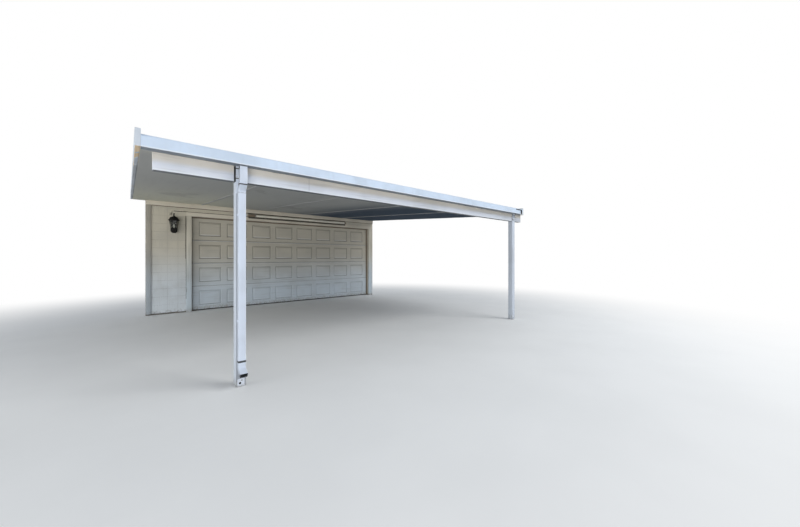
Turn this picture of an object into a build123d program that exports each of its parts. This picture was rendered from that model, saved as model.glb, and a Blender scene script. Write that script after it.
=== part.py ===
from build123d import *
import os

os.makedirs("parts", exist_ok=True)

# Lean-to carport on two posts, carried at the back by a garage front wall
# with a sectional door. Millimetres, front faces -Y, +X right, Z = 0 at the ground.

# Roof outline and levels
roof_width = 6096
bay_depth = 5230
roof_slope = 0.066
header_height = 280.5

# Posts and beam
post_size = 89
post_setback = 35
post_left_inset = 733
post_right_inset = 374
base_gauge = 3
base_width = 64
base_height = 76
plank_thickness = 37.5
plank_gap = 1
beam_depth = 145
beam_inset = 115
beam_gap = 14

# Roof build-up, from the ceiling upwards
ceiling_sheet = 9.5
ceiling_width = 1219
ceiling_joint = 3
batten_width = 38
batten_thickness = 6
rafter_depth = 89
rafter_width = 38
rafter_count = 9
deck_thickness = 12
roofing_thickness = 3
rake_thickness = 38
rake_height = 140
fascia_thickness = 38
back_fascia_thickness = 19
drip_edge_gauge = 1.5
drip_edge_leg = 60
drip_edge_clearance = 4

# Gutter
gutter_width = 85
gutter_face = 87
gutter_back = 76
gutter_drop = 6
gutter_gauge = 1.5
gutter_right_gap = 180
hem_height = 11
hem_depth = 3
lip_width = 14
lip_drop = 7
hanger_width = 25
hanger_gauge = 2
hanger_count = 8

# Downspout
downspout_width = 68
downspout_depth = 48
downspout_gauge = 1.2
bead_depth = 1.5
bead_height = 12
outlet_clearance = 1.5
outlet_play = 0.5
outlet_flange = 12
outlet_length = 40
offset_fall = 60
offset_top_length = 160
offset_tail = 32
offset_radius = 60
shoe_top = 268
shoe_bend_height = 178
shoe_reach = 76
shoe_fall = 46
shoe_radius = 42

# Garage front wall
wall_left_inset = 242
wall_thickness = 102
siding_thickness = 11
siding_base = 28
opening_inset = 1056
pier_right_width = 163
opening_height = 2160
trim_thickness = 19
casing_width = 102
head_casing_height = 89
corner_board_width = 89
frieze_height = 95
stop_width = 25
stop_thickness = 19

# Sectional door
door_thickness = 45
section_count = 4
seal_height = 22
seal_inset = 4
panel_columns = 8
panel_gap = 95
panel_end_margin = 86
panel_rail = 108
panel_border = 34
panel_relief = 7
panel_back_recess = 20
section_chamfer = 4
track_gauge = 3
track_leg = 48
track_lip = 22
track_clearance = 2
roof_back_margin = 66

# Lantern and its conduit
lantern_inset = 338
lantern_reach = 122
lantern_rise = 33
lantern_sides = 6
hood_height = 163
hood_radius = 107
hood_brim = 8
hood_waist_radius = 70
hood_neck_radius = 12
finial_radius = 13
finial_height = 42
glass_height = 175
glass_top_radius = 82
glass_bottom_radius = 58
glass_thickness = 3
bowl_height = 96
bowl_foot_radius = 24
bar_width = 9
bar_depth = 5
cage_rim = 8
backplate_width = 112
backplate_height = 150
backplate_thickness = 14
arm_radius = 9
conduit_radius = 8
conduit_offset = 44
conduit_bend = 55
conduit_clearance = 10

# Strip light
strip_light_offset = 153
strip_light_length = 2800
strip_light_height = 52
strip_light_depth = 34
strip_light_clearance = 8
lampholder_length = 160
end_holder_length = 40
lampholder_depth = 78
tube_radius = 19
tube_gap = 4

# Places that follow from the sizes above
wall_depth = siding_thickness + wall_thickness + roof_back_margin
overall_depth = gutter_width + post_setback + bay_depth + wall_depth
gutter_front_y = -overall_depth / 2
fascia_y = gutter_front_y + gutter_width
post_y = fascia_y + post_setback
siding_y = post_y + bay_depth
wall_y = siding_y + siding_thickness
door_y = wall_y + wall_thickness
roof_back_y = door_y + roof_back_margin
beam_thickness = 2 * plank_thickness + plank_gap
beam_y = post_y + (post_size - beam_thickness) / 2

roof_left = -roof_width / 2
roof_right = roof_width / 2
inner_left = roof_left + rake_thickness
inner_right = roof_right - rake_thickness
post_left_x = roof_left + post_left_inset
post_right_x = roof_right - post_right_inset
gutter_right = inner_right - gutter_right_gap
hanger_spacing = (gutter_right - inner_left) / hanger_count
rafter_spacing = roof_width / (rafter_count + 1)
wall_left = roof_left + wall_left_inset
opening_left = roof_left + opening_inset
opening_right = roof_right - pier_right_width
opening_width = opening_right - opening_left
opening_middle = (opening_left + opening_right) / 2

roof_rise = roof_slope * (post_setback + bay_depth)
eave_height = opening_height + header_height - roof_rise
headroom = eave_height - beam_depth
rafter_lift = ceiling_sheet
deck_lift = rafter_lift + rafter_depth
roofing_lift = deck_lift + deck_thickness
roof_top_lift = roofing_lift + roofing_thickness

gutter_bottom = eave_height - gutter_drop
outlet_width = downspout_width - 2 * (downspout_gauge + outlet_clearance)
outlet_depth = downspout_depth - 2 * (downspout_gauge + outlet_clearance)
downspout_x = post_left_x + post_size / 2
drop_y = gutter_front_y + gutter_width / 2
pipe_y = post_y - bead_depth - downspout_depth / 2
offset_top = gutter_bottom
offset_bend = offset_top - offset_top_length
offset_bottom = offset_bend - offset_fall - offset_tail

head_casing_top = opening_height + head_casing_height
section_height = (opening_height - seal_height) / section_count
panel_spare = 2 * panel_end_margin + (panel_columns - 1) * panel_gap
panel_width = (opening_width - panel_spare) / panel_columns
panel_pitch = panel_width + panel_gap
panel_height = section_height - 2 * panel_rail

lantern_x = opening_left - lantern_inset
lantern_y = siding_y - lantern_reach
lantern_top = opening_height + lantern_rise
hood_base = lantern_top - hood_height
glass_base = hood_base - glass_height
lantern_base = glass_base - bowl_height
arm_level = hood_base + 0.3 * hood_height
conduit_level = head_casing_top + conduit_clearance + conduit_radius
strip_light_level = head_casing_top + strip_light_clearance + strip_light_height / 2
strip_light_left = opening_middle + strip_light_offset - strip_light_length / 2


def roof_z(y, lift=0):
    """Height of a layer of the sloping roof above the ground."""
    return eave_height + roof_slope * (y - fascia_y) + lift


def sloped_band(y_near, y_far, low, high):
    """Side outline of a layer that follows the roof, between two lifts."""
    return [
        (y_near, roof_z(y_near, low)),
        (y_far, roof_z(y_far, low)),
        (y_far, roof_z(y_far, high)),
        (y_near, roof_z(y_near, high)),
    ]


def under_roof(y_near, y_far, z_low, lift=0):
    """Side outline of an upright piece whose top is cut to the roof's slope."""
    return [
        (y_near, z_low),
        (y_far, z_low),
        (y_far, roof_z(y_far, lift)),
        (y_near, roof_z(y_near, lift)),
    ]


def rectangle_outline(y_near, y_far, z_low, z_high):
    """Side outline of a square-cut board."""
    return [(y_near, z_low), (y_far, z_low), (y_far, z_high), (y_near, z_high)]


def run_along_x(spans, outline):
    """One solid for each (x_low, x_high) span, with the same side outline."""
    with BuildPart() as piece:
        for x_low, x_high in spans:
            with BuildSketch(Plane.YZ.offset(x_low)):
                with BuildLine():
                    Polyline(*outline, close=True)
                make_face()
            extrude(amount=x_high - x_low)
    return piece


def save(piece, label):
    """Label a finished piece and write its file."""
    piece.part.label = label
    export_step(piece.part, f"parts/{label}.step")


def centred_span(middle, width):
    """Low and high ends of a width about its middle."""
    return (middle - width / 2, middle + width / 2)


# Posts: square timbers that reach up between the beam's lengths to the ceiling
def make_post(x_low):
    outline = under_roof(post_y, post_y + post_size, base_gauge)
    return run_along_x([(x_low, x_low + post_size)], outline)


# Post base: a bent steel strap under the post and up its front and back
def make_post_base(x_low):
    y_front = post_y - base_gauge
    y_back = post_y + post_size + base_gauge
    outline = [
        (y_front, 0),
        (y_back, 0),
        (y_back, base_height),
        (y_back - base_gauge, base_height),
        (y_back - base_gauge, base_gauge),
        (post_y, base_gauge),
        (post_y, base_height),
        (y_front, base_height),
    ]
    return run_along_x([centred_span(x_low + post_size / 2, base_width)], outline)


# Beam: two planks side by side, between and beyond the posts, under the ceiling
def make_beam(x_low, x_high):
    with BuildPart() as beam:
        for y_near in (beam_y, beam_y + plank_thickness + plank_gap):
            with BuildSketch(Plane.YZ.offset(x_low)):
                with BuildLine():
                    Polyline(*under_roof(y_near, y_near + plank_thickness, headroom), close=True)
                make_face()
            extrude(amount=x_high - x_low)
    return beam


# Ceiling: sheets side by side with a narrow joint, each the roof's full depth
def make_ceiling():
    outline = sloped_band(fascia_y + fascia_thickness, roof_back_y, 0, ceiling_sheet)
    spans = []
    x_low = inner_left
    while x_low < inner_right:
        x_high = min(x_low + ceiling_width - ceiling_joint, inner_right)
        spans.append((x_low, x_high))
        x_low += ceiling_width
    return run_along_x(spans, outline), spans


# Battens: flat strips over the joints, from the beam to the frieze
def make_battens(spans):
    y_near = beam_y + beam_thickness
    y_far = siding_y - trim_thickness
    outline = sloped_band(y_near, y_far, -batten_thickness, 0)
    joints = [span[1] + ceiling_joint / 2 for span in spans[:-1]]
    return run_along_x([centred_span(joint, batten_width) for joint in joints], outline)


# Rafters: on edge between the ceiling and the deck
def make_rafters():
    y_near = fascia_y + fascia_thickness
    y_far = roof_back_y - back_fascia_thickness
    outline = sloped_band(y_near, y_far, rafter_lift, deck_lift)
    first = -rafter_spacing * (rafter_count - 1) / 2
    middles = [first + rafter_spacing * index for index in range(rafter_count)]
    return run_along_x([centred_span(middle, rafter_width) for middle in middles], outline)


# Rake boards: the outermost planks, standing proud of the roofing as a curb
def make_rake(x_low, y_near):
    outline = sloped_band(y_near, roof_back_y, 0, rake_height)
    return run_along_x([(x_low, x_low + rake_thickness)], outline)


# Drip edge: an angle over the roofing's front, turned down behind the gutter
def make_drip_edge():
    y_front = fascia_y - drip_edge_gauge
    z_low = gutter_bottom + gutter_back + drip_edge_clearance
    outline = [
        (y_front, z_low),
        (fascia_y, z_low),
        (fascia_y, roof_z(fascia_y, roof_top_lift)),
        (fascia_y + drip_edge_leg, roof_z(fascia_y + drip_edge_leg, roof_top_lift)),
        (fascia_y + drip_edge_leg, roof_z(fascia_y + drip_edge_leg, roof_top_lift + drip_edge_gauge)),
        (y_front, roof_z(y_front, roof_top_lift + drip_edge_gauge)),
    ]
    return run_along_x([(inner_left, inner_right)], outline)


# Gutter: flat-faced trough with a doubled hem, a turned-in lip and closed ends
def make_gutter():
    face_y = gutter_front_y + hem_depth
    lip_y = face_y + lip_width
    inner_back_y = fascia_y - gutter_gauge
    face_top = gutter_bottom + gutter_face
    back_top = gutter_bottom + gutter_back
    floor = gutter_bottom + gutter_gauge
    shell = [
        (fascia_y, back_top),
        (fascia_y, gutter_bottom),
        (gutter_front_y, gutter_bottom),
        (gutter_front_y, gutter_bottom + hem_height),
        (face_y, gutter_bottom + hem_height),
        (face_y, face_top),
        (lip_y, face_top),
        (lip_y, face_top - lip_drop),
        (lip_y - gutter_gauge, face_top - lip_drop),
        (lip_y - gutter_gauge, face_top - gutter_gauge),
        (face_y + gutter_gauge, face_top - gutter_gauge),
        (face_y + gutter_gauge, floor),
        (inner_back_y, floor),
        (inner_back_y, back_top),
    ]
    cap = shell[:6] + [(lip_y, face_top), (lip_y, back_top)]
    with BuildPart() as gutter:
        with BuildSketch(Plane.YZ.offset(inner_left)):
            with BuildLine():
                Polyline(*shell, close=True)
            make_face()
        extrude(amount=gutter_right - inner_left)
        for x_low in (inner_left, gutter_right - gutter_gauge):
            with BuildSketch(Plane.YZ.offset(x_low)):
                with BuildLine():
                    Polyline(*cap, close=True)
                make_face()
            extrude(amount=gutter_gauge)
        with BuildSketch(Plane.XY.offset(gutter_bottom)):
            with Locations((downspout_x, drop_y)):
                Rectangle(outlet_width + 2 * outlet_play, outlet_depth + 2 * outlet_play)
        extrude(amount=gutter_gauge, mode=Mode.SUBTRACT)
    return gutter


# Hangers: flat bars across the trough, under the lip
def make_hangers():
    y_low = gutter_front_y + hem_depth + gutter_gauge
    y_high = fascia_y - gutter_gauge
    z_high = gutter_bottom + gutter_back
    outline = rectangle_outline(y_low, y_high, z_high - hanger_gauge, z_high)
    first = inner_left + hanger_spacing / 2
    middles = [first + hanger_spacing * index for index in range(hanger_count)]
    return run_along_x([centred_span(middle, hanger_width) for middle in middles], outline)


def ring_sketch(width, depth, gauge):
    """Hollow rectangle in the open sketch."""
    Rectangle(width, depth)
    Rectangle(width - 2 * gauge, depth - 2 * gauge, mode=Mode.SUBTRACT)


# Outlet: flanged collar through the gutter's floor into the downspout
def make_outlet():
    floor = gutter_bottom + gutter_gauge
    centre = (downspout_x, drop_y)
    flange_width = outlet_width + 2 * outlet_flange
    flange_depth = outlet_depth + 2 * outlet_flange
    with BuildPart() as outlet:
        with BuildSketch(Plane.XY.offset(floor)):
            with Locations(centre):
                Rectangle(flange_width, flange_depth)
                inner_width = outlet_width - 2 * downspout_gauge
                inner_depth = outlet_depth - 2 * downspout_gauge
                Rectangle(inner_width, inner_depth, mode=Mode.SUBTRACT)
        extrude(amount=downspout_gauge)
        with BuildSketch(Plane.XY.offset(floor)):
            with Locations(centre):
                ring_sketch(outlet_width, outlet_depth, downspout_gauge)
        extrude(amount=-outlet_length)
    return outlet


def add_bead(y_middle, z_low):
    """Raised band round an upright stretch of duct, in the open part."""
    with BuildSketch(Plane.XY.offset(z_low)) as band:
        with Locations((downspout_x, y_middle)):
            Rectangle(downspout_width + 2 * bead_depth, downspout_depth + 2 * bead_depth)
            Rectangle(downspout_width, downspout_depth, mode=Mode.SUBTRACT)
    extrude(band.sketch, amount=bead_height)


def sweep_duct(corners, radius):
    """Rectangular duct along (y, z) corners at the downspout, in the open part."""
    with BuildLine(Plane.YZ.offset(downspout_x)) as route:
        FilletPolyline(*corners, radius=radius)
    start = Plane(origin=route.line @ 0, x_dir=(1, 0, 0), z_dir=route.line % 0)
    with BuildSketch(start) as ring:
        ring_sketch(downspout_width, downspout_depth, downspout_gauge)
    sweep(ring.sketch, path=route.line)


# Offset: the drop from the gutter and the double bend back to the post
def make_offset():
    corners = [
        (drop_y, offset_top),
        (drop_y, offset_bend),
        (pipe_y, offset_bend - offset_fall),
        (pipe_y, offset_bottom),
    ]
    with BuildPart() as offset_piece:
        sweep_duct(corners, offset_radius)
        add_bead(drop_y, offset_bend + offset_tail)
        add_bead(pipe_y, offset_bottom)
    return offset_piece


# Pipe: the long straight run down the post's front
def make_pipe():
    with BuildPart() as pipe:
        with BuildSketch(Plane.XY.offset(shoe_top)):
            with Locations((downspout_x, pipe_y)):
                ring_sketch(downspout_width, downspout_depth, downspout_gauge)
        extrude(amount=offset_bottom - shoe_top)
        add_bead(pipe_y, shoe_top)
    return pipe


# Shoe: the kick-out elbow with its open mouth
def make_shoe():
    corners = [
        (pipe_y, shoe_top),
        (pipe_y, shoe_bend_height),
        (pipe_y - shoe_reach, shoe_bend_height - shoe_fall),
    ]
    with BuildPart() as shoe:
        sweep_duct(corners, shoe_radius)
        add_bead(pipe_y, shoe_top - bead_height)
    return shoe


# Wall: piers beside the doorway and a header over it, tops cut to the slope
def make_wall_block(x_low, x_high, z_low):
    return run_along_x([(x_low, x_high)], under_roof(wall_y, door_y, z_low))


def make_siding(x_low, x_high, z_low):
    return run_along_x([(x_low, x_high)], under_roof(siding_y, wall_y, z_low))


# Trim boards planted on the siding's face
def make_trim(x_low, x_high, z_low, z_high):
    outline = rectangle_outline(siding_y - trim_thickness, siding_y, z_low, z_high)
    return run_along_x([(x_low, x_high)], outline)


# Frieze: the board under the ceiling, its top cut to the slope
def make_frieze():
    z_low = roof_z(siding_y) - frieze_height
    outline = under_roof(siding_y - trim_thickness, siding_y, z_low)
    return run_along_x([(wall_left, roof_right)], outline)


# Door stops: a three-sided frame in the reveal, in front of the door's edges
def make_door_stops():
    inner_height = opening_height - stop_width
    with BuildPart() as stops:
        with BuildSketch(Plane.XZ.offset(-door_y)):
            with BuildLine():
                Polyline(
                    (opening_left, 0),
                    (opening_left, opening_height),
                    (opening_right, opening_height),
                    (opening_right, 0),
                    (opening_right - stop_width, 0),
                    (opening_right - stop_width, inner_height),
                    (opening_left + stop_width, inner_height),
                    (opening_left + stop_width, 0),
                    close=True,
                )
            make_face()
        extrude(amount=stop_thickness)
    return stops


# Door section: a slab with a row of raised panels, each inside a sunk bevelled border
def make_door_section(z_low):
    front = Plane(
        origin=(opening_middle, door_y, z_low + section_height / 2),
        x_dir=(1, 0, 0),
        z_dir=(0, -1, 0),
    )
    with BuildPart() as section:
        with BuildSketch(front):
            Rectangle(opening_width, section_height)
        extrude(amount=-door_thickness)
        long_edges = section.edges().filter_by(Axis.X).group_by(Axis.Y)[0]
        chamfer(long_edges, length=section_chamfer)
        with BuildSketch(front):
            with GridLocations(panel_pitch, 0, panel_columns, 1):
                Rectangle(panel_width, panel_height)
        extrude(amount=-panel_relief, taper=30, mode=Mode.SUBTRACT)
        raised = front.offset(-panel_relief)
        with BuildSketch(raised):
            with GridLocations(panel_pitch, 0, panel_columns, 1):
                Rectangle(panel_width - 2 * panel_border, panel_height - 2 * panel_border)
        extrude(amount=panel_relief, taper=45)
        with BuildSketch(front.offset(-door_thickness)):
            with GridLocations(panel_pitch, 0, panel_columns, 1):
                Rectangle(panel_width, panel_height)
        extrude(amount=panel_back_recess, mode=Mode.SUBTRACT)
    return section


# Bottom seal: a flexible strip under the lowest section
def make_seal():
    outline = rectangle_outline(door_y + seal_inset, door_y + door_thickness - seal_inset, 0, seal_height)
    return run_along_x([(opening_left, opening_right)], outline)


# Tracks: folded channels on the wall's back that hold the door's edges
def make_tracks():
    door_back = door_y + door_thickness + track_clearance
    with BuildPart() as tracks:
        for edge, side in ((opening_left, -1), (opening_right, 1)):
            web = edge + side * track_clearance
            far_web = web + side * track_gauge
            with BuildSketch(Plane.XY.offset(seal_height)):
                with BuildLine():
                    Polyline(
                        (web, door_y),
                        (web + side * track_leg, door_y),
                        (web + side * track_leg, door_y + track_gauge),
                        (far_web, door_y + track_gauge),
                        (far_web, door_back + track_gauge),
                        (edge - side * track_lip, door_back + track_gauge),
                        (edge - side * track_lip, door_back),
                        (web, door_back),
                        close=True,
                    )
                make_face()
            extrude(amount=opening_height - seal_height)
    return tracks


def lantern_body(levels, mode=Mode.ADD):
    """Many-sided body through (height, corner radius) levels on the lantern's axis."""
    sections = []
    for z_level, corner_radius in levels:
        with BuildSketch(Plane.XY.offset(z_level)) as section:
            with Locations((lantern_x, lantern_y)):
                RegularPolygon(corner_radius, lantern_sides)
        sections.append(section.sketch)
    loft(sections, ruled=True, mode=mode)


# Lantern frame: a glazed cage under a flared hood, over a bowl, on an arm from the wall
def make_lantern_frame():
    top_radius = glass_top_radius + bar_depth
    bottom_radius = glass_bottom_radius + bar_depth
    finial_base = lantern_top - finial_height
    with BuildPart() as frame:
        lantern_body([(glass_base, bottom_radius), (hood_base, top_radius)])
        lantern_body([(glass_base, glass_bottom_radius), (hood_base, glass_top_radius)], Mode.SUBTRACT)
        for index in range(lantern_sides):
            towards = Rot(0, 0, 360 / lantern_sides * (index + 0.5)) * Plane.YZ
            with BuildSketch(Pos(lantern_x, lantern_y, 0) * towards):
                with BuildLine():
                    Polyline(
                        (bar_width - bottom_radius / 2, glass_base + cage_rim),
                        (bottom_radius / 2 - bar_width, glass_base + cage_rim),
                        (top_radius / 2 - bar_width, hood_base - cage_rim),
                        (bar_width - top_radius / 2, hood_base - cage_rim),
                        close=True,
                    )
                make_face()
            extrude(amount=top_radius, mode=Mode.SUBTRACT)
        lantern_body(
            [
                (hood_base, hood_radius),
                (hood_base + hood_brim, hood_radius),
                (hood_base + 0.18 * hood_height, 0.82 * hood_radius),
                (hood_base + 0.4 * hood_height, hood_waist_radius),
                (hood_base + 0.5 * hood_height, hood_waist_radius / 2),
                (finial_base, hood_neck_radius / 1.5),
                (finial_base + 0.3 * finial_height, finial_radius),
                (finial_base + 0.7 * finial_height, finial_radius),
                (lantern_top, finial_radius / 2.5),
            ]
        )
        lantern_body(
            [
                (lantern_base, bowl_foot_radius),
                (lantern_base + 0.2 * bowl_height, 0.8 * bottom_radius),
                (lantern_base + 0.5 * bowl_height, bottom_radius),
                (glass_base, bottom_radius),
            ]
        )
        with BuildSketch(Plane.XZ.offset(-siding_y)):
            with Locations((lantern_x, arm_level)):
                RectangleRounded(backplate_width, backplate_height, radius=backplate_width / 4)
        extrude(amount=backplate_thickness)
        with BuildSketch(Plane.XZ.offset(-siding_y + backplate_thickness)):
            with Locations((lantern_x, arm_level)):
                Circle(arm_radius)
        extrude(amount=lantern_reach - backplate_thickness)
    return frame


# Lantern glass: flat panes joined in a tapered sleeve inside the cage
def make_lantern_glass():
    bottom_inner = glass_bottom_radius - glass_thickness
    top_inner = glass_top_radius - glass_thickness
    with BuildPart() as glass:
        lantern_body([(glass_base, glass_bottom_radius), (hood_base, glass_top_radius)])
        lantern_body([(glass_base, bottom_inner), (hood_base, top_inner)], Mode.SUBTRACT)
    return glass


# Conduit: up from the wall plate, then level along the header to the strip light
def make_conduit():
    x_low = lantern_x - conduit_offset
    plate_top = arm_level + backplate_height / 2
    corners = [
        (x_low, plate_top),
        (x_low, conduit_level),
        (strip_light_left, conduit_level),
    ]
    with BuildPart() as conduit:
        with BuildLine(Plane.XZ.offset(-siding_y + conduit_radius)) as route:
            FilletPolyline(*corners, radius=conduit_bend)
        start = Plane(origin=route.line @ 0, x_dir=(1, 0, 0), z_dir=route.line % 0)
        with BuildSketch(start):
            Circle(conduit_radius)
        sweep(path=route.line)
    return conduit


# Strip light: a flat housing, two lampholders and a bare tube between them
def make_strip_light():
    x_high = strip_light_left + strip_light_length
    z_low = strip_light_level - strip_light_height / 2
    z_high = strip_light_level + strip_light_height / 2
    holder_inner = strip_light_left + lampholder_length
    end_inner = x_high - end_holder_length
    housing_front = siding_y - strip_light_depth
    housing_outline = rectangle_outline(housing_front, siding_y, z_low, z_high)
    housing = run_along_x([(holder_inner, end_inner)], housing_outline)
    holder_outline = rectangle_outline(siding_y - lampholder_depth, siding_y, z_low, z_high)
    holders = run_along_x([(strip_light_left, holder_inner), (end_inner, x_high)], holder_outline)
    tube_y = housing_front - tube_gap - tube_radius
    with BuildPart() as tube:
        with BuildSketch(Plane.YZ.offset(holder_inner)):
            with Locations((tube_y, strip_light_level)):
                Circle(tube_radius)
        extrude(amount=end_inner - holder_inner)
    return housing, holders, tube


save(make_post(post_left_x), "post_left")
save(make_post(post_right_x), "post_right")
save(make_post_base(post_left_x), "post_base_left")
save(make_post_base(post_right_x), "post_base_right")

beam_left_end = roof_left + beam_inset
save(make_beam(beam_left_end, post_left_x - beam_gap), "beam_left")
save(make_beam(post_left_x + post_size, post_right_x), "beam_main")
save(make_beam(post_right_x + post_size, inner_right - ceiling_joint), "beam_right")

ceiling, ceiling_spans = make_ceiling()
save(ceiling, "ceiling_sheets")
save(make_battens(ceiling_spans), "ceiling_battens")
save(make_rafters(), "rafters")

between_rakes = [(inner_left, inner_right)]
fascia_outline = sloped_band(fascia_y, fascia_y + fascia_thickness, 0, deck_lift)
save(run_along_x(between_rakes, fascia_outline), "fascia_front")
back_outline = sloped_band(roof_back_y - back_fascia_thickness, roof_back_y, rafter_lift, deck_lift)
save(run_along_x(between_rakes, back_outline), "fascia_back")
deck_outline = sloped_band(fascia_y, roof_back_y, deck_lift, roofing_lift)
save(run_along_x(between_rakes, deck_outline), "roof_deck")
roofing_outline = sloped_band(fascia_y, roof_back_y, roofing_lift, roof_top_lift)
save(run_along_x(between_rakes, roofing_outline), "roofing")
save(make_rake(roof_left, gutter_front_y), "rake_left")
save(make_rake(inner_right, fascia_y), "rake_right")
save(make_drip_edge(), "drip_edge")

save(make_gutter(), "gutter")
save(make_hangers(), "gutter_hangers")
save(make_outlet(), "downspout_outlet")
save(make_offset(), "downspout_offset")
save(make_pipe(), "downspout_pipe")
save(make_shoe(), "downspout_shoe")

save(make_wall_block(wall_left, opening_left, 0), "wall_pier_left")
save(make_wall_block(opening_right, roof_right, 0), "wall_pier_right")
save(make_wall_block(opening_left, opening_right, opening_height), "wall_header")
save(make_siding(wall_left, opening_left, siding_base), "siding_left")
save(make_siding(opening_right, roof_right, siding_base), "siding_right")
save(make_siding(opening_left, opening_right, opening_height), "siding_header")

frieze_base = roof_z(siding_y) - frieze_height
casing_left_x = opening_left - casing_width
casing_right_x = opening_right + casing_width
save(
    make_trim(wall_left, wall_left + corner_board_width, siding_base, frieze_base),
    "corner_board_left",
)
save(make_trim(casing_left_x, opening_left, 0, opening_height), "casing_left")
save(make_trim(opening_right, casing_right_x, 0, opening_height), "casing_right")
save(make_trim(casing_left_x, casing_right_x, opening_height, head_casing_top), "casing_head")
save(make_frieze(), "frieze_board")
save(make_door_stops(), "door_stops")

for section_index in range(section_count):
    section_base = seal_height + section_height * section_index
    save(make_door_section(section_base), f"door_section_{section_index + 1}")
save(make_seal(), "door_seal")
save(make_tracks(), "door_tracks")

save(make_lantern_frame(), "lantern_frame")
save(make_lantern_glass(), "lantern_glass")
save(make_conduit(), "conduit")
strip_housing, strip_holders, strip_tube = make_strip_light()
save(strip_housing, "strip_light_housing")
save(strip_holders, "strip_light_holders")
save(strip_tube, "strip_light_tube")
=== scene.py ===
import logging
import math
import random
from dataclasses import dataclass
from enum import Enum
from functools import cached_property
from itertools import product
from typing import Callable, Optional, Sequence, Union

import bmesh
import bpy
from mathutils import Euler, Matrix, Vector, geometry, noise


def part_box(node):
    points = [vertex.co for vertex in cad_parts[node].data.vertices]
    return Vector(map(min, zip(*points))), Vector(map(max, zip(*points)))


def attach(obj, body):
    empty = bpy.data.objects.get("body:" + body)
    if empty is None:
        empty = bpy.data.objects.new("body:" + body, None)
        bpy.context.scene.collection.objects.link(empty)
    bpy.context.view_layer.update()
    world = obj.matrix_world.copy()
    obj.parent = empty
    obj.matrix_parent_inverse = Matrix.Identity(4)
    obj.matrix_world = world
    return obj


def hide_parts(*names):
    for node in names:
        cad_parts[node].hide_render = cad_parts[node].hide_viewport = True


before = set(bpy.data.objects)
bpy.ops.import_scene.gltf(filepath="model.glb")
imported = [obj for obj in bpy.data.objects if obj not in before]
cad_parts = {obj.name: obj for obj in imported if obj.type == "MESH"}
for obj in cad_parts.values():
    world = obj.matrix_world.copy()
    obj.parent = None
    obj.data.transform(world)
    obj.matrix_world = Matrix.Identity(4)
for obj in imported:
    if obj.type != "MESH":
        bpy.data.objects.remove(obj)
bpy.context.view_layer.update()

LOG = logging.getLogger("carport")

Point = tuple[float, float, float]
Flat = tuple[float, float]
Colour = tuple[float, float, float]
Socket = bpy.types.NodeSocket
Piece = bpy.types.Object

EVEN: Point = (1.0, 1.0, 1.0)
FRONT: Point = (0.0, -1.0, 0.0)
BACK: Point = (0.0, 1.0, 0.0)
UP: Point = (0.0, 0.0, 1.0)
DOWN: Point = (0.0, 0.0, -1.0)
SIDES = ("left", "right")
WELD = 0.00001
PROUD = 0.0002
HIDDEN = 0.0005


def srgb(red: int, green: int, blue: int) -> Colour:
    """Linear colour of a paint that is read as screen values from 0 to 255."""
    parts = [value / 255 for value in (red, green, blue)]
    return tuple(part / 12.92 if part < 0.04045 else ((part + 0.055) / 1.055) ** 2.4 for part in parts)


def darker(colour: Colour, share: float) -> Colour:
    """The colour with that share of its light."""
    return tuple(share * part for part in colour)


def clamp(value: float) -> float:
    """The value, kept between 0 and 1."""
    return min(1.0, max(0.0, value))


def wander(x: float, y: float = 0.0, z: float = 0.0) -> float:
    """Smooth noise between -1 and 1 at a place."""
    return noise.noise(Vector((x, y, z)))


def steps_between(start: float, end: float, longest: float) -> list[float]:
    """Even stops from start to end, no further apart than longest."""
    count = max(1, math.ceil(abs(end - start) / longest))
    return [start + (end - start) * index / count for index in range(count + 1)]


def circle(count: int, share: float = 0.0) -> list[float]:
    """Angles of a circle's points in radians, from that share of a step."""
    return [2 * math.pi * (index + share) / count for index in range(count)]


def rectangle(a: Flat, b: Flat) -> list[Flat]:
    """Corners of the rectangle between two values of each coordinate, in order."""
    return [(a[0], b[0]), (a[1], b[0]), (a[1], b[1]), (a[0], b[1])]


class Along(Enum):
    """The direction that a board, its grain or a bar runs in."""

    X = 0
    Y = 1
    Z = 2


@dataclass(frozen=True)
class Extent:
    """The box that a CAD node fills, in metres."""

    x0: float
    y0: float
    z0: float
    x1: float
    y1: float
    z1: float

    @classmethod
    def of(cls, node: str) -> "Extent":
        """The box of the named CAD node."""
        low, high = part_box(node)
        return cls(*low, *high)

    @property
    def mid_x(self) -> float:
        """Middle across the object."""
        return (self.x0 + self.x1) / 2

    @property
    def mid_y(self) -> float:
        """Middle from front to back."""
        return (self.y0 + self.y1) / 2

    @property
    def mid_z(self) -> float:
        """Middle height."""
        return (self.z0 + self.z1) / 2


@dataclass(frozen=True)
class Pitch:
    """The roof's slope, from the front of the ceiling sheets."""

    rise: float = 0.066

    def level(self, y: float, lift: float = 0.0) -> float:
        """Height of a layer of the sloping roof.

        Args:
            y: Place from front to back.
            lift: Height of the layer above the ceiling's face.

        Returns:
            The layer's height above the ground.
        """
        ceiling = Extent.of("ceiling_sheets")
        return ceiling.z0 + self.rise * (y - ceiling.y0) + lift


PITCH = Pitch()


# Materials


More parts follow.
